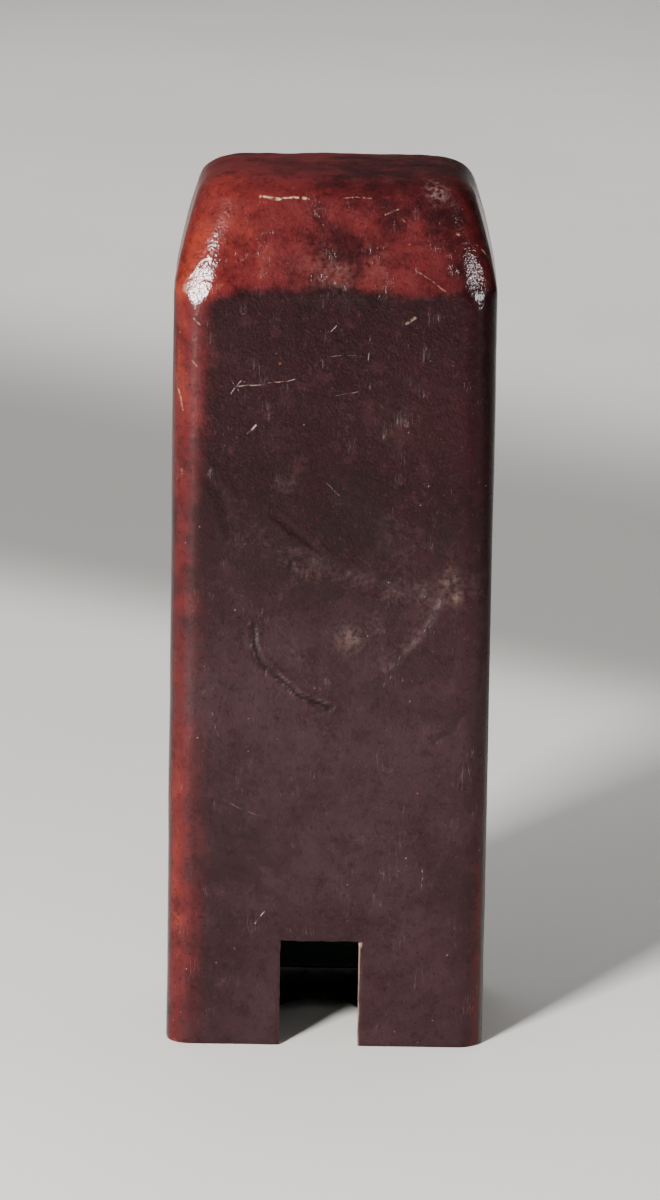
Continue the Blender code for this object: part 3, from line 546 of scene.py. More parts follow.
def ring_plan():
    """Each ring point as (share of a, share of b, normal x, normal y), anticlockwise from above."""
    front = [(x / STRAIGHT_A, -1, 0, -1) for x in X_LINES]
    right = [(1, y / STRAIGHT_B, 1, 0) for y in Y_LINES]
    back = [(x / STRAIGHT_A, 1, 0, 1) for x in reversed(X_LINES)]
    left = [(-1, y / STRAIGHT_B, -1, 0) for y in reversed(Y_LINES)]
    inner = ARC[1:-1]
    corners = (
        [(1, -1, math.cos(t), -math.sin(t)) for t in reversed(inner)],
        [(1, 1, math.cos(t), math.sin(t)) for t in inner],
        [(-1, 1, -math.cos(t), math.sin(t)) for t in reversed(inner)],
        [(-1, -1, -math.cos(t), -math.sin(t)) for t in inner],
    )
    return front + corners[0] + right + corners[1] + back + corners[2] + left + corners[3]


def side_radius(height):
    """The upright edges are a little rounder at the shoulder than at the foot."""
    return FOOT_RADIUS + (UPPER_RADIUS - FOOT_RADIUS) * min(1.0, height / STRAIGHT_HEIGHT)


def profile_rows():
    """Each row as (distance in from the side, height, corner radius, tilt of the normal)."""
    shoulder_z = STRAIGHT_HEIGHT - SHOULDER_RADIUS * math.tan(SLOPE / 2)
    rise = TOP - CROWN_RADIUS - STRAIGHT_HEIGHT + CROWN_RADIUS * math.sin(SLOPE)
    crown_in = rise * math.tan(SLOPE) + CROWN_RADIUS * math.cos(SLOPE)
    crown_z = TOP - CROWN_RADIUS
    rows = [(0.0, z, side_radius(z), 0.0) for z in spread(
        [FOOT, MOUTH_TOP, SLOT_LOW, NOTCH_TOP, NOTCH_TOP + 0.2 * MM, NOTCH_TOP + 0.5 * MM,
         SLOT_HIGH, shoulder_z], MESH_STEP)]
    for index in range(1, SHOULDER_ROWS + 1):
        tilt = SLOPE * index / SHOULDER_ROWS
        rows.append((
            SHOULDER_RADIUS * (1 - math.cos(tilt)), shoulder_z + SHOULDER_RADIUS * math.sin(tilt),
            UPPER_RADIUS, tilt,
        ))
    first = rows[-1]
    radius = TOP_CORNER + math.cos(SLOPE) * (HEEL_CORNER - TOP_CORNER)
    last = (
        crown_in - CROWN_RADIUS * math.cos(SLOPE), crown_z + CROWN_RADIUS * math.sin(SLOPE), radius
    )
    for index in range(1, TAPER_ROWS):
        share = index / TAPER_ROWS
        rows.append(tuple(first[k] + (last[k] - first[k]) * share for k in range(3)) + (SLOPE,))
    for index in range(CROWN_ROWS + 1):
        tilt = SLOPE + (math.pi / 2 - SLOPE) * index / CROWN_ROWS
        reach = CROWN_RADIUS * math.cos(tilt)
        corner = TOP_CORNER + math.cos(tilt) * (HEEL_CORNER - TOP_CORNER)
        rows.append((crown_in - reach, crown_z + CROWN_RADIUS * math.sin(tilt), corner, tilt))
    return rows


# Folds in the front: (path in millimetres, depth, half width). The crack is the deepest.
CRACK = [(-25.5, 143.0), (-24.5, 136.0), (-22.5, 129.5), (-18.0, 126.0), (-10.5, 119.5), (1.0, 115.5)]
FOLDS = [
    (CRACK, 0.45, 0.75),
    ([(-19.5, 180.0), (-8.0, 170.5), (4.0, 160.5)], 0.16, 0.9),
    ([(34.0, 152.0), (29.5, 143.0), (22.5, 134.5), (16.0, 128.5)], 0.30, 1.9),
    ([(-13.5, 166.0), (4.0, 158.5), (22.0, 155.0), (37.0, 154.0), (49.0, 157.0)], 0.22, 2.6),
    ([(43.0, 113.5), (40.5, 108.5), (35.0, 105.0)], 0.26, 1.1),
    ([(16.0, 158.5), (19.5, 160.0), (23.5, 157.0)], 0.24, 0.8),
    ([(-38.0, 96.0), (-29.0, 91.0), (-20.0, 90.0)], 0.14, 1.6),
    ([(6.0, 52.0), (17.0, 47.0), (29.0, 48.0)], 0.13, 2.0),
    ([(-44.0, 196.0), (-36.0, 186.0), (-33.0, 175.0)], 0.12, 1.8),
]


# Chalky rubbed spots on the front: (x, z, radius) in millimetres, and strength.
RUBBED_SPOTS = [
    (38.3, 158.0, 3.4, 1.0), (40.5, 153.0, 2.2, 0.75), (7.0, 139.0, 4.6, 0.60), (14.0, 143.5, 3.4, 0.38),
    (-15.0, 190.0, 3.0, 0.34), (-11.0, 133.0, 3.2, 0.22), (11.0, 71.0, 2.2, 0.26), (-2.0, 108.0, 7.0, 0.10),
    (22.0, 172.0, 8.0, 0.12), (-27.0, 172.0, 7.0, 0.08), (-20.0, 205.0, 5.0, 0.10), (20.0, 214.0, 6.0, 0.08),
    (-1.0, 259.0, 9.0, 0.30), (13.0, 262.0, 7.0, 0.24), (-8.0, 264.0, 6.0, 0.16),
]


def leather_surface():
    """Points and normals of the outer surface, row by row and then the top's inner grid."""
    plan = np.array(ring_plan())
    points, normals = [], []
    for inward, height, radius, tilt in profile_rows():
        a = HALF_WIDTH - inward - radius
        b = HALF_DEPTH - inward - radius
        outer = np.clip((np.abs(plan[:, 0]) - 0.5) / 0.5, 0, 1)
        grown = STRAIGHT_A + (a - STRAIGHT_A) * outer
        grown = a + (grown - a) * max(0.0, min(1.0, (STRAIGHT_HEIGHT - height) / (12 * MM)))
        x = plan[:, 0] * grown + plan[:, 2] * radius
        y = plan[:, 1] * b + plan[:, 3] * radius + CASE_Y
        points.append(np.stack([x, y, np.full(x.shape, height)], 1))
        lean = np.full(x.shape, math.sin(tilt))
        normals.append(np.stack([plan[:, 2] * math.cos(tilt), plan[:, 3] * math.cos(tilt), lean], 1))
    grid = [(x / STRAIGHT_A * a, y / STRAIGHT_B * b + CASE_Y, TOP) for y in Y_LINES for x in X_LINES]
    points.append(np.array(grid))
    normals.append(np.tile((0.0, 0.0, 1.0), (len(grid), 1)))
    return np.concatenate(points), np.concatenate(normals)


# Corners of the heel pressed flat by handling: (x, z, turn and rise of the flat in degrees, reach
# and depth), in millimetres.
FACETS = [(-41.0, 261.0, -20.0, 13.5, 18.0, 1.0), (44.2, 269.5, 29.0, 14.0, 20.0, 0.34)]
# Polished spots on those corners: (x, z, share of the reach across and upright, reach).
GLOSSY_SPOTS = [(-40.5, 261.0, 0.75, 1.0, 10.5), (46.0, 266.0, 0.5, 1.3, 12.0)]


def soft_step(share):
    """Eases a share in and out between 0 and 1."""
    share = np.clip(share, 0, 1)
    return share * share * (3 - 2 * share)


def pressed(points, facet_x, facet_z, turned_by, raised_by, reach, depth):
    """Presses a round corner flat, with an uneven surface left behind."""
    turn, rise = math.radians(turned_by), math.radians(raised_by)
    face = np.array((math.sin(turn) * math.cos(rise), -math.cos(turn) * math.cos(rise), math.sin(rise)))
    away = np.hypot(points[:, 0] - facet_x * MM, (points[:, 2] - facet_z * MM) * 0.75)
    in_front = points[:, 1] < CASE_Y
    level = points @ face
    plane = level[(away < 5 * MM) & in_front].max() - depth * MM
    soft = 0.35 * MM
    over = soft * np.logaddexp(0.0, (level - plane) / soft)
    fade = soft_step(1.6 - away / (reach * MM) * 1.6) * in_front
    dents = 0.13 * cloud_at(points, 0.0042, 41.0) + 0.06 * cloud_at(points, 0.0022, 43.0)
    shift = np.where(over > 0, -over + dents * MM * np.clip(over / soft, 0, 1), 0.0)
    return points + face * (shift * fade)[:, None]


def crease_leather(x, z, front, middle, small):
    """How far the folds move the front, in millimetres, with painted shade along their lines, chalky rubs,
    and a painted highlight along the crack's lower lip.
    """
    move, fold_shade, chalk_and_lip_highlight = (np.zeros(len(x)) for _ in range(3))
    for spot_x, spot_z, reach, strength in RUBBED_SPOTS:
        away = np.hypot(x - spot_x * MM, z - spot_z * MM) / (1 + 0.45 * middle + 0.2 * small)
        chalk_and_lip_highlight = np.maximum(chalk_and_lip_highlight, strength * bell(away, reach * MM) * front)
    wander = 0.5 * MM * middle + 0.35 * MM * small
    for path, depth, width in FOLDS:
        away = path_distance(x + wander, z + wander, [(px * MM, pz * MM) for px, pz in path])
        line = bell(away, width * MM) * front
        lip = bell(away - 2.0 * width * MM, width * MM) * front
        move += -depth * line + 0.45 * depth * lip
        if path is CRACK:
            # Painted shade in the crack and the narrow folds, and a painted highlight along the crack's
            # lower lip.
            fold_shade = np.maximum(fold_shade, bell(away, 0.55 * MM) * front)
            chalk_and_lip_highlight = np.maximum(chalk_and_lip_highlight, 0.9 * bell(away - 0.9 * MM, 0.35 * MM) * front * (small > -0.05))
        elif width < 1.3:
            fold_shade = np.maximum(fold_shade, 0.35 * bell(away, 0.6 * MM) * front)
        elif depth > 0.2:
            ease = np.clip(0.45 + 0.6 * middle + 0.4 * small, 0, 1)
            edge = 0.36 * bell(away - 0.7 * width * MM, 0.8 * width * MM) * front * ease
            chalk_and_lip_highlight = np.maximum(chalk_and_lip_highlight, edge)
    return move, fold_shade, chalk_and_lip_highlight


def from_upright_edge(x, y, turn, level):
    """How far round from the middle of the upright edge, in millimetres: + is to the front."""
    in_x, in_y = HALF_WIDTH - np.abs(x), HALF_DEPTH - np.abs(y)
    away = EDGE_RADIUS * (math.pi / 4 - np.radians(turn)) / MM
    away += np.where(turn < 1, np.maximum(0, in_x - EDGE_RADIUS), 0) / MM
    away -= np.where(turn > 89, np.maximum(0, in_y - EDGE_RADIUS), 0) / MM
    return np.where(level, 60, away)


def shape_leather(points, normals):
    """Moves the surface as wear and handling have, and returns the masks that colour it."""
    x, y, z = points[:, 0], points[:, 1] - CASE_Y, points[:, 2]
    broad = cloud_at(points, 0.045, 3.1)
    blotch = cloud_at(points, 0.026, 23.5)
    middle = cloud_at(points, 0.014, 7.7)
    streak = cloud_at(points, 0.0075, 29.9)
    small = cloud_at(points, 0.0048, 11.3)
    tiny = cloud_at(points, 0.0021, 17.9)

    front = np.clip(-normals[:, 1], 0, 1) ** 2
    at_front = (y < -HALF_DEPTH * 0.4) & (normals[:, 1] < -0.2)
    left = np.clip(0.5 - x / (2 * HALF_WIDTH), 0, 1)
    crown = bell(z - (TOP - 2.6 * MM), 3.6 * MM) * (normals[:, 2] > 0.2)
    shoulder = bell(z - STRAIGHT_HEIGHT, 2.2 * MM)
    level = normals[:, 2] > 0.98
    flat = np.maximum(np.hypot(normals[:, 0], normals[:, 1]), 1e-6)
    turn = np.degrees(np.arcsin(np.clip(np.abs(normals[:, 0]) / flat, 0, 1)))
    corner = np.where(level, 0, bell(turn - 36.0, 24.0))
    edge = np.where(level, 0, bell(turn - 40.0, 11.0))
    patchy = (2.4 * blotch + 1.6 * middle + 0.8 * small) * MM
    taper = soft_step((z - STRAIGHT_HEIGHT + 4.5 * MM + patchy) / (8.5 * MM))
    top = np.clip((normals[:, 2] - 0.55) / 0.4, 0, 1)
    notch_gap = np.maximum(np.maximum.reduce([NOTCH_LEFT - x, x - NOTCH_RIGHT, z - NOTCH_TOP]), 0)
    near_notch = bell(notch_gap, 1.2 * MM) * front * (z < NOTCH_TOP + 6 * MM)

    move = 0.22 * broad + 0.08 * middle + 0.020 * small
    move += crown * (0.26 * middle + 0.14 * small + 0.05 * tiny) + taper * (0.16 * middle + 0.05 * small)
    move += shoulder * 0.10 * small + corner * (0.12 * middle + 0.05 * small)
    move -= 0.55 * bell(np.hypot(x / 1.3, z - 150 * MM), 30 * MM) * front
    rise = np.clip((z - STRAIGHT_HEIGHT) / (TOP - STRAIGHT_HEIGHT), 0, 1)
    move += 0.75 * np.sin(math.pi * rise) * np.clip(1 - top, 0, 1)
    move -= 1.5 * top * np.clip(np.abs(y) / (30 * MM), 0, 1) ** 2
    creases, fold_shade, chalk_and_lip_highlight = crease_leather(x, z, front, middle, small)
    flake = bell(np.hypot((x + 17.5 * MM) / 5.5, (z - 286.2 * MM) / 0.8), 1.2 * MM) * at_front
    move += creases - 0.25 * flake
    move -= 0.22 * bell(notch_gap, 0.35 * MM) * front * (z < NOTCH_TOP + 3 * MM)
    move -= 0.25 * bell(z - FOOT, 0.6 * MM)

    wear = 0.16 * crown + 0.34 * shoulder * (0.6 + 0.6 * left) + 0.34 * edge * (0.45 + 0.6 * left)
    wear += 0.20 * bell(z - FOOT, 1.6 * MM) + 0.10 * broad
    wear += 0.18 * near_notch * np.where(x > 0, 1.6, 0.6)

    raw = bell(np.hypot(x - NOTCH_RIGHT, z - NOTCH_TOP + 1.0 * MM), 1.0 * MM) * at_front
    # Painted light: a pale raw-edge line only on the right jamb, where the key light from the left falls on
    # the cut edge. The torn spot at the notch's top corner is real.
    lit_jamb_line = bell(x - NOTCH_RIGHT, 0.24 * MM) * at_front * (z < NOTCH_TOP)
    lit_jamb_line = lit_jamb_line * np.clip(0.35 + 0.8 * small + 0.5 * middle, 0, 0.75)
    torn = np.maximum(np.clip(raw * 1.6 + 0.3 * tiny - 0.4, 0, 1), lit_jamb_line)

    # Painted light mixed with real rubbing: the taper is painted redder as though lit from above, and the
    # taper and upright edges much redder on the left, where the key light falls and glints off the rounded
    # edge. The shoulder line and the edges also carry real rubbing.
    from_edge = from_upright_edge(x, y, turn, level)
    wide = bell(from_edge - 0.5 + 1.5 * blotch, np.where(from_edge > 0, 9.0 + 2.0 * blotch, 6.0))
    tight = bell(from_edge + 0.5 + 1.0 * middle, 3.4)
    lit_and_rubbed = taper * (0.21 + 0.42 * left**2.2 + 0.13 * blotch + 0.08 * streak) * (1 - 0.10 * top)
    lit_and_rubbed += (wide * (0.02 + 0.46 * left**2) + 0.16 * tight * left) * (1 - 0.65 * taper) * (
        1 + 0.45 * blotch + 0.30 * streak - 0.32 * bell(z - 150 * MM, 52 * MM))
    lit_and_rubbed += 0.26 * tight * (1 - left) * (1 - taper) * np.clip(1.25 - z / (150 * MM), 0, 1)
    lit_and_rubbed += 0.12 * bell(z - STRAIGHT_HEIGHT - 1.0 * MM + patchy, 2.6 * MM) * (0.2 + left) * (1 + streak)

    gloss = np.zeros(len(x))
    for spot_x, spot_z, across, upright, reach in GLOSSY_SPOTS:
        away = np.hypot((x - spot_x * MM) / across, (z - spot_z * MM) / upright)
        gloss = np.maximum(gloss, bell(away, reach * MM) * (y < 0))

    moved = points + normals * (move * MM)[:, None]
    for facet in FACETS:
        moved = pressed(moved, *facet)
    ragged = near_notch * bell(notch_gap, 0.5 * MM) * (0.30 * small + 0.25 * tiny) * MM
    moved[:, 0] += ragged
    moved[:, 2] += np.where(z > NOTCH_TOP - MM, ragged, 0)
    moved[:, 2] = np.maximum(moved[:, 2], FOOT)
    masks = {
        "wear": wear, "lit_and_rubbed": lit_and_rubbed, "torn": torn, "fold_shade": fold_shade, "top": top, "chalk_and_lip_highlight": chalk_and_lip_highlight,
        "gloss": gloss, "smooth": bell(from_edge, 8.0) * (1 - taper),
    }
    return moved, {name: np.clip(values, 0, 1) for name, values in masks.items()}


def leather_faces(ring_size, row_count, centers):
    """Quads between rows, without the openings, then the flat top's inner grid and its corners."""
    faces = []
    for row in range(row_count - 1):
        low, high = row * ring_size, (row + 1) * ring_size
        for index in range(ring_size):
            after = (index + 1) % ring_size
            faces.append((low + index, low + after, high + after, high + index))
    middle = centers[np.array(faces)].mean(axis=1)
    x, y, z = middle[:, 0], middle[:, 1] - CASE_Y, middle[:, 2]
    notch = (y < -HALF_DEPTH + MM) & (x > NOTCH_LEFT) & (x < NOTCH_RIGHT) & (z < NOTCH_TOP)
    mouth = (y > STRAIGHT_B) & (np.abs(x) < MOUTH_HALF) & (z < MOUTH_TOP)
    slot = (y > STRAIGHT_B) & (np.abs(x) < SLOT_HALF) & (z > SLOT_LOW) & (z < SLOT_HIGH)
    keep = ~(notch | mouth | slot)
    faces = [face for face, kept in zip(faces, keep) if kept]

    columns, lines = len(X_LINES), len(Y_LINES)
    ring = (row_count - 1) * ring_size
    grid = row_count * ring_size
    arc = len(ARC) - 2
    front = ring
    right = front + columns + arc
    back = right + lines + arc
    left = back + columns + arc

    def cell(column, line):
        return grid + line * columns + column

    for line in range(lines - 1):
        for column in range(columns - 1):
            faces.append((cell(column, line), cell(column + 1, line),
                          cell(column + 1, line + 1), cell(column, line + 1)))
    for column in range(columns - 1):
        faces.append((front + column, front + column + 1, cell(column + 1, 0), cell(column, 0)))
        far = columns - 1 - column
        faces.append((back + column, back + column + 1, cell(far - 1, lines - 1), cell(far, lines - 1)))
    for line in range(lines - 1):
        far = lines - 1 - line
        faces.append((right + line, right + line + 1, cell(columns - 1, line + 1), cell(columns - 1, line)))
        faces.append((left + line, left + line + 1, cell(0, far - 1), cell(0, far)))
    fans = (
        (front + columns - 1, right, cell(columns - 1, 0)),
        (right + lines - 1, back, cell(columns - 1, lines - 1)),
        (back + columns - 1, left, cell(0, lines - 1)),
        (left + lines - 1, front + ring_size, cell(0, 0)),
    )
    for start, end, hub in fans:
        for index in range(start, end):
            after = index + 1
            faces.append((ring + (index - ring) % ring_size, ring + (after - ring) % ring_size, hub))
    return faces


def make_leather(material, edge_material, top_material):
    points, normals = leather_surface()
    ring_size = len(ring_plan())
    rows = profile_rows()
    faces = leather_faces(ring_size, len(rows), points)
    moved, masks = shape_leather(points, normals)

    mesh = bpy.data.meshes.new("leather_skin")
    mesh.from_pydata(moved.tolist(), [], faces)
    for name, values in masks.items():
        layer = mesh.attributes.new(name, "FLOAT", "POINT")
        layer.data.foreach_set("value", values.astype(np.float32))
    bm = bmesh.new()
    bm.from_mesh(mesh)
    loose = [vert for vert in bm.verts if not vert.link_faces]
    bmesh.ops.delete(bm, geom=loose, context="VERTS")
    rim = [edge for edge in bm.edges if edge.is_boundary]
    grown = bmesh.ops.extrude_edge_only(bm, edges=rim)["geom"]
    inner = [item for item in grown if isinstance(item, bmesh.types.BMVert)]
    bm.normal_update()
    for vert in inner:
        flat = Vector((vert.co.x, vert.co.y - CASE_Y, 0))
        core = Vector((
            max(-STRAIGHT_A, min(STRAIGHT_A, flat.x)), max(-STRAIGHT_B, min(STRAIGHT_B, flat.y)), 0
        ))
        inward = (core - flat).normalized()
        vert.co += inward * LEATHER_DEPTH
    for face in [item for item in grown if isinstance(item, bmesh.types.BMFace)]:
        face.material_index = 1
    bmesh.ops.recalc_face_normals(bm, faces=bm.faces)
    upper = bm.verts.layers.float["top"]
    for face in bm.faces:
        if face.material_index == 0 and min(vert[upper] for vert in face.verts) > 0.20:
            face.material_index = 2
    bm.to_mesh(mesh)
    bm.free()
    obj = link("leather_skin", mesh, material, "case", 50)
    mesh.materials.append(edge_material)
    mesh.materials.append(top_material)
    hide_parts("leather_cover")


# ---- baize -------------------------------------------------------------------------------------
def baize_sheet(name, node, body, material, thin_axis, hole=None):
    """A thin sheet of cloth in its CAD solid's place, a little uneven, with an optional opening."""
    low, high = (Vector(corner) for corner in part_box(node))
    axes = [axis for axis in range(3) if axis != thin_axis]
    first, second = axes
    thickness = high[thin_axis] - low[thin_axis]
    keys_a, keys_b = [low[first], high[first]], [low[second], high[second]]
    if hole:
        keys_a = sorted({*keys_a, hole[0], hole[1]})
        keys_b = sorted({*keys_b, *(value for value in hole[2:] if low[second] < value < high[second])})
    lines_a, lines_b = spread(keys_a, 2.5 * MM), spread(keys_b, 2.5 * MM)
    bm = bmesh.new()
    grid = []
    for b in lines_b:
        row = []
        for a in lines_a:
            spot = [0.0, 0.0, 0.0]
            spot[first], spot[second] = a, b
            spot[thin_axis] = (low[thin_axis] + high[thin_axis]) / 2
            spot[thin_axis] += noise.noise(Vector(spot) / (9 * MM)) * 0.07 * MM
            row.append(bm.verts.new(spot))
        grid.append(row)
    for j in range(len(lines_b) - 1):
        for i in range(len(lines_a) - 1):
            a, b = (lines_a[i] + lines_a[i + 1]) / 2, (lines_b[j] + lines_b[j + 1]) / 2
            if hole and hole[0] < a < hole[1] and hole[2] < b < hole[3]:
                continue
            bm.faces.new((grid[j][i], grid[j][i + 1], grid[j + 1][i + 1], grid[j + 1][i]))
    area = sum(face.calc_area() for face in bm.faces)
    loose = [vert for vert in bm.verts if not vert.link_faces]
    bmesh.ops.delete(bm, geom=loose, context="VERTS")
    mesh = bpy.data.meshes.new(name)
    bm.to_mesh(mesh)
    bm.free()
    obj = link(name, mesh, material, body, 60)
    skin = obj.modifiers.new("thickness", "SOLIDIFY")
    skin.thickness = thickness * 0.72
    skin.offset = 0
    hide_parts(node)


def make_baize(material):
    slot = (-3.4 * MM, 3.4 * MM, 17.2 * MM, 227.9 * MM)
    notch = (NOTCH_LEFT - 0.8 * MM, NOTCH_RIGHT + 0.8 * MM, -MM, NOTCH_TOP + 0.8 * MM)
    baize_sheet("baize_front", "lining_front", "case", material, 1, notch)
    baize_sheet("baize_back", "lining_back", "case", material, 1, slot)
    baize_sheet("baize_left", "lining_left", "case", material, 0)
    baize_sheet("baize_right", "lining_right", "case", material, 0)
    baize_sheet("baize_heel", "heel_felt", "case", material, 2)
    baize_sheet("pusher_baize", "pusher_felt", "pusher", material, 2)


# ---- turned brass ------------------------------------------------------------------------------
def turned(name, profile, center, body, material, steps=64):
    """A turned piece about the Y axis through center, from (radius, y) points."""
    bm = bmesh.new()
    rings = []
    for radius, along in profile:
        if radius < 1e-7:
            rings.append([bm.verts.new((center[0], along, center[2]))])
            continue
        rings.append([
            bm.verts.new((
                center[0] + radius * math.cos(2 * math.pi * i / steps), along,
                center[2] + radius * math.sin(2 * math.pi * i / steps),
            ))
            for i in range(steps)
        ])
    for below, above in zip(rings, rings[1:]):
        for i in range(steps):
            j = (i + 1) % steps
            if len(below) == 1:
                bm.faces.new((below[0], above[i], above[j]))
            elif len(above) == 1:
                bm.faces.new((below[i], above[0], below[j]))
            else:
                bm.faces.new((below[i], above[i], above[j], below[j]))
    bmesh.ops.recalc_face_normals(bm, faces=bm.faces)
    mesh = bpy.data.meshes.new(name)
    bm.to_mesh(mesh)
    bm.free()
    return link(name, mesh, material, body, 32)


def smooth_profile(points):
    """A Catmull-Rom curve through the profile's points."""
    steps = 6
    out = []
    padded = [points[0], *points, points[-1]]
    for p0, p1, p2, p3 in zip(padded, padded[1:], padded[2:], padded[3:]):
        for index in range(steps):
            t = index / steps
            out.append(tuple(
                0.5 * (2 * b + (c - a) * t + (2 * a - 5 * b + 4 * c - d) * t * t
                       + (3 * b - 3 * c + d - a) * t ** 3)
                for a, b, c, d in zip(p0, p1, p2, p3)
            ))
    out.append(points[-1])
    return [(max(radius, 0.0), along) for radius, along in out]


def make_knob(material):
    low, high = (Vector(corner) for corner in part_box("knob"))
    center = (low + high) / 2
    base = low.y
    bore = 2.55 * MM
    curve = [
        (5.6, 0.0), (5.55, 0.9), (5.35, 1.45), (4.45, 2.1), (3.95, 2.9), (3.95, 3.7), (4.6, 4.5),
        (6.2, 5.15), (7.05, 5.9), (7.2, 6.6), (7.05, 7.4), (6.3, 8.4), (5.2, 9.15), (3.6, 9.7),
        (1.8, 9.95), (0.0, 10.0),
    ]
    body = smooth_profile([(radius * MM, base + y * MM) for radius, y in curve])
    inner = [(0.0, base + 6 * MM), (bore, base + 6 * MM), (bore, base), (5.3 * MM, base)]
    obj = turned("turned_knob", inner + body, center, "pusher", material)
    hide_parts("knob")


def make_tacks(material):
    names = [f"lip_tack_{i}" for i in range(1, 6)] + [f"plate_tack_{i}" for i in range(1, 7)]
    for name in names:
        low, high = (Vector(corner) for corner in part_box(name))
        center = (low + high) / 2
        tip, under = high.y, high.y - 0.7 * MM
        profile = [(0.0, low.y), (0.5 * MM, low.y + MM), (0.5 * MM, under), (1.08 * MM, under - 0.02 * MM)]
        profile += [(1.2 * MM * math.cos(a), under + 0.06 * MM + 0.64 * MM * math.sin(a))
                    for a in (math.radians(step * 10) for step in range(9))]
        profile.append((0.0, tip))
        obj = turned("brass_" + name, profile, center, "case", material, 28)
        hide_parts(name)


# ---- CAD nodes that stay -----------------------------------------------------------------------
def repaint(names, material, bevel=0.0):
    for name in names:
        obj = NODES[name]
        for slot in obj.material_slots:
            slot.link = "OBJECT"
            slot.material = material
        if not obj.material_slots:
            obj.data.materials.append(material)
        if bevel:
            edge = obj.modifiers.new("soft_edge", "BEVEL")
            edge.width = bevel
            edge.segments = 2
            edge.limit_method = "ANGLE"
            edge.angle_limit = math.radians(40)
            edge.use_clamp_overlap = True


# ---- camera, floor and light -------------------------------------------------------------------
def make_stage():
    bm = bmesh.new()
    wall, bend = 4.4, 0.6
    path = [(-4.5, 0.0)]
    path += [(wall - bend + bend * math.sin(a), bend - bend * math.cos(a))
             for a in (math.radians(step * 5) for step in range(19))]
    path.append((wall, 3.0))
    rows = [[bm.verts.new((x, y, z)) for y, z in path] for x in (-4.5, 4.5)]
    for i in range(len(path) - 1):
        bm.faces.new((rows[0][i], rows[1][i], rows[1][i + 1], rows[0][i + 1]))
    mesh = bpy.data.meshes.new("floor")
    bm.to_mesh(mesh)
    bm.free()
    mesh.shade_smooth()
    floor = bpy.data.objects.new("floor", mesh)
    bpy.context.scene.collection.objects.link(floor)
    s = Shader("pale_floor", Roughness=0.9)
    s.bsdf.inputs["Specular IOR Level"].default_value = 0.2
    tone = s.mix(s.range(s.noise(3.0, 3.0), 0.3, 0.7), (0.75, 0.73, 0.705), (0.79, 0.77, 0.74))
    # Painted shade: a darker band over the floor's far part and the sweep's foot, reaching nearer on the
    # right, in place of the backdrop's shade and the shoe's broad shadow.
    depth = s.plus(s.axis(1), s.times(s.axis(0), 0.70))
    depth = s.plus(depth, s.times(s.noise(2.2, 3.0), 0.10))
    shade = s.times(s.range(depth, 0.50, 0.66), s.range(depth, 1.32, 0.90))
    s.set("Base Color", s.mix(shade, tone, (0.34, 0.335, 0.325)))
    mesh.materials.append(s.material)


def area_light(name, place, target, size, power, color=(1, 1, 1)):
    data = bpy.data.lights.new(name, "AREA")
    data.shape = "RECTANGLE"
    data.size, data.size_y = size
    data.energy = power
    data.color = color
    obj = bpy.data.objects.new(name, data)
    obj.location = place
    obj.rotation_euler = (Vector(target) - Vector(place)).to_track_quat("-Z", "Y").to_euler()
    bpy.context.scene.collection.objects.link(obj)


def aimed(azimuth, elevation, distance, target):
    """A place that far from the target; azimuth 0 is in front and positive is to the right."""
    azimuth, elevation = math.radians(azimuth), math.radians(elevation)
    level = math.cos(elevation)
    return Vector(target) + distance * Vector((
        math.sin(azimuth) * level, -math.cos(azimuth) * level, math.sin(elevation)
    ))


def make_lights():
    middle = Vector((0, CASE_Y, 0.14))
    washes = (
        ("key", aimed(-30, 33, 1.7, middle), middle, (0.24, 0.40), 62, (1.0, 0.985, 0.95)),
        ("fill", aimed(30, 25, 1.8, middle), middle, (1.0, 0.8), 1.4, (0.97, 0.98, 1.0)),
        ("top", (0.0, 0.10, 1.7), (0, 0.05, 0), (1.3, 1.0), 4.5, (1.0, 0.99, 0.97)),
        ("backdrop", (0.0, 1.75, 1.5), (0, 1.9, 0), (2.6, 1.4), 30, (1.0, 0.99, 0.98)),
    )
    for wash in washes:
        area_light(*wash)
        bpy.data.objects[wash[0]].visible_glossy = False
    glints = (
        ("left_window", aimed(-40, 13, 1.6, middle), (0.36, 0.38), 200),
        ("right_window", aimed(57, 13, 1.7, middle), (0.09, 0.50), 42),
    )
    for name, place, size, power in glints:
        area_light(name, place, middle, size, power)
        bpy.data.objects[name].visible_diffuse = False
    world = bpy.data.worlds.new("studio")
    world.use_nodes = True
    background = world.node_tree.nodes["Background"]
    background.inputs["Color"].default_value = (0.95, 0.96, 1.0, 1)
    background.inputs["Strength"].default_value = 0.06
    bpy.context.scene.world = world


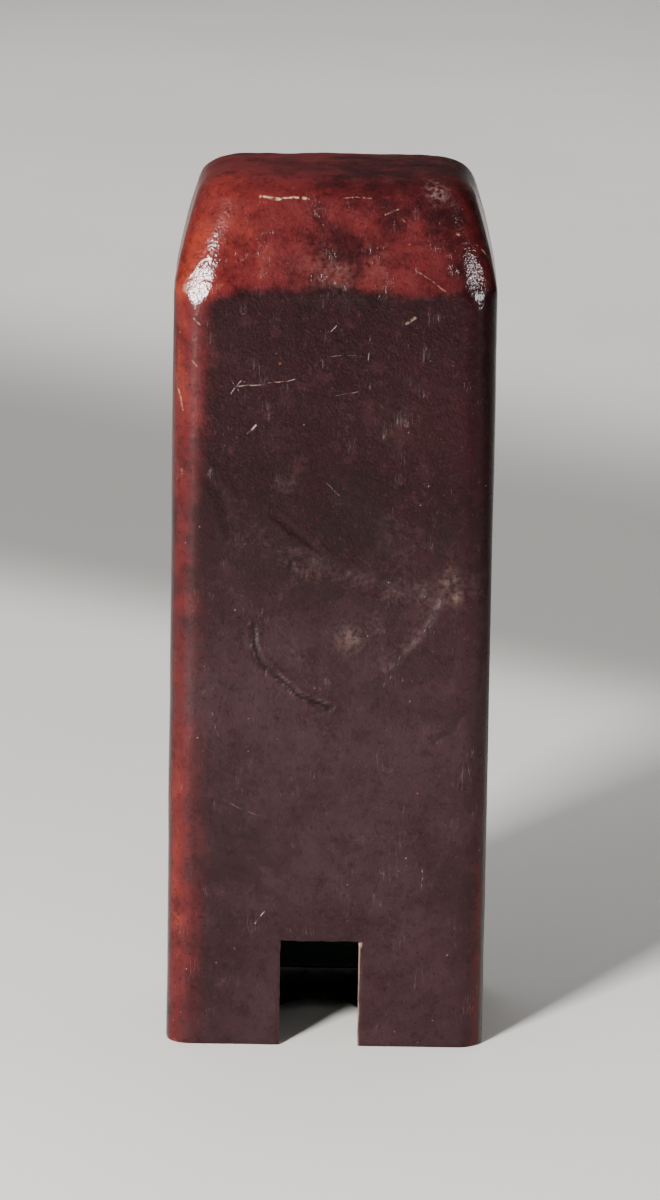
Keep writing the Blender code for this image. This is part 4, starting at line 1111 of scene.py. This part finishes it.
def make_camera():
    pitch, roll = math.radians(13.2), math.radians(0.9)
    distance = 1.95
    target = Vector((-0.0003, FRONT_Y, 0.1515))
    data = bpy.data.cameras.new("camera")
    data.sensor_width = 36
    data.lens = 180
    data.clip_end = 50
    obj = bpy.data.objects.new("camera", data)
    obj.location = target + Vector((0, -math.cos(pitch), math.sin(pitch))) * distance
    look = (target - obj.location).to_track_quat("-Z", "Y").to_matrix().to_4x4()
    look = look @ Matrix.Rotation(roll, 4, "Z")
    obj.rotation_euler = look.to_euler()
    bpy.context.scene.collection.objects.link(obj)
    bpy.context.scene.camera = obj


FIXED_BRASS = [
    "hinge_leaf", "turn_button_screw", "stem_bush", "spring_screw_left", "spring_screw_right",
    "hinge_screw_1", "hinge_screw_2", "hinge_screw_3",
]


def make_metal():
    brass = metal_material(
        "aged_brass", (0.60, 0.42, 0.17), (0.27, 0.175, 0.075), (0.045, 0.035, 0.022), 0.26
    )
    steel = metal_material(
        "plain_steel", (0.52, 0.52, 0.53), (0.25, 0.25, 0.26), (0.05, 0.04, 0.035), 0.28
    )
    # Painted shade: the gate plate and the exit lip are made near black so that the inside of the shoe, seen
    # through the notch, reads as deep shade.
    interior_shade_black = metal_material(
        "brass_darkened_for_interior_shade", (0.020, 0.016, 0.012), (0.010, 0.008, 0.007), (0.05, 0.032, 0.014), 0.42
    )
    make_knob(brass)
    make_tacks(brass)
    repaint(["gate_plate", "exit_lip"], interior_shade_black, 0.12 * MM)
    repaint(["slot_plate", "turn_button", "knob_washer"], brass, 0.12 * MM)
    repaint(FIXED_BRASS, brass)
    repaint(["hinge_pin", "knob_stem", "brake_spring_left", "brake_spring_right"], steel)


def make_wood():
    beech = wood_material("case_beech", (0.30, 0.17, 0.085), (0.15, 0.075, 0.036), (0, 0, 0))
    across = (0, math.pi / 2, 0)
    walnut = wood_material("pusher_walnut", (0.13, 0.065, 0.035), (0.045, 0.022, 0.013), across, 0.42)
    repaint(["front_board", "back_board", "left_board", "right_board", "heel_block"], beech)
    repaint(["pusher_block"], walnut, 0.5 * MM)


def main():
    make_camera()
    make_stage()
    make_lights()
    leather = leather_material("oxblood_leather", 0.15)
    make_leather(leather, cut_leather_material(), leather_material("oxblood_leather_top", 0.09))
    make_baize(baize_material())
    make_wood()
    make_metal()


main()
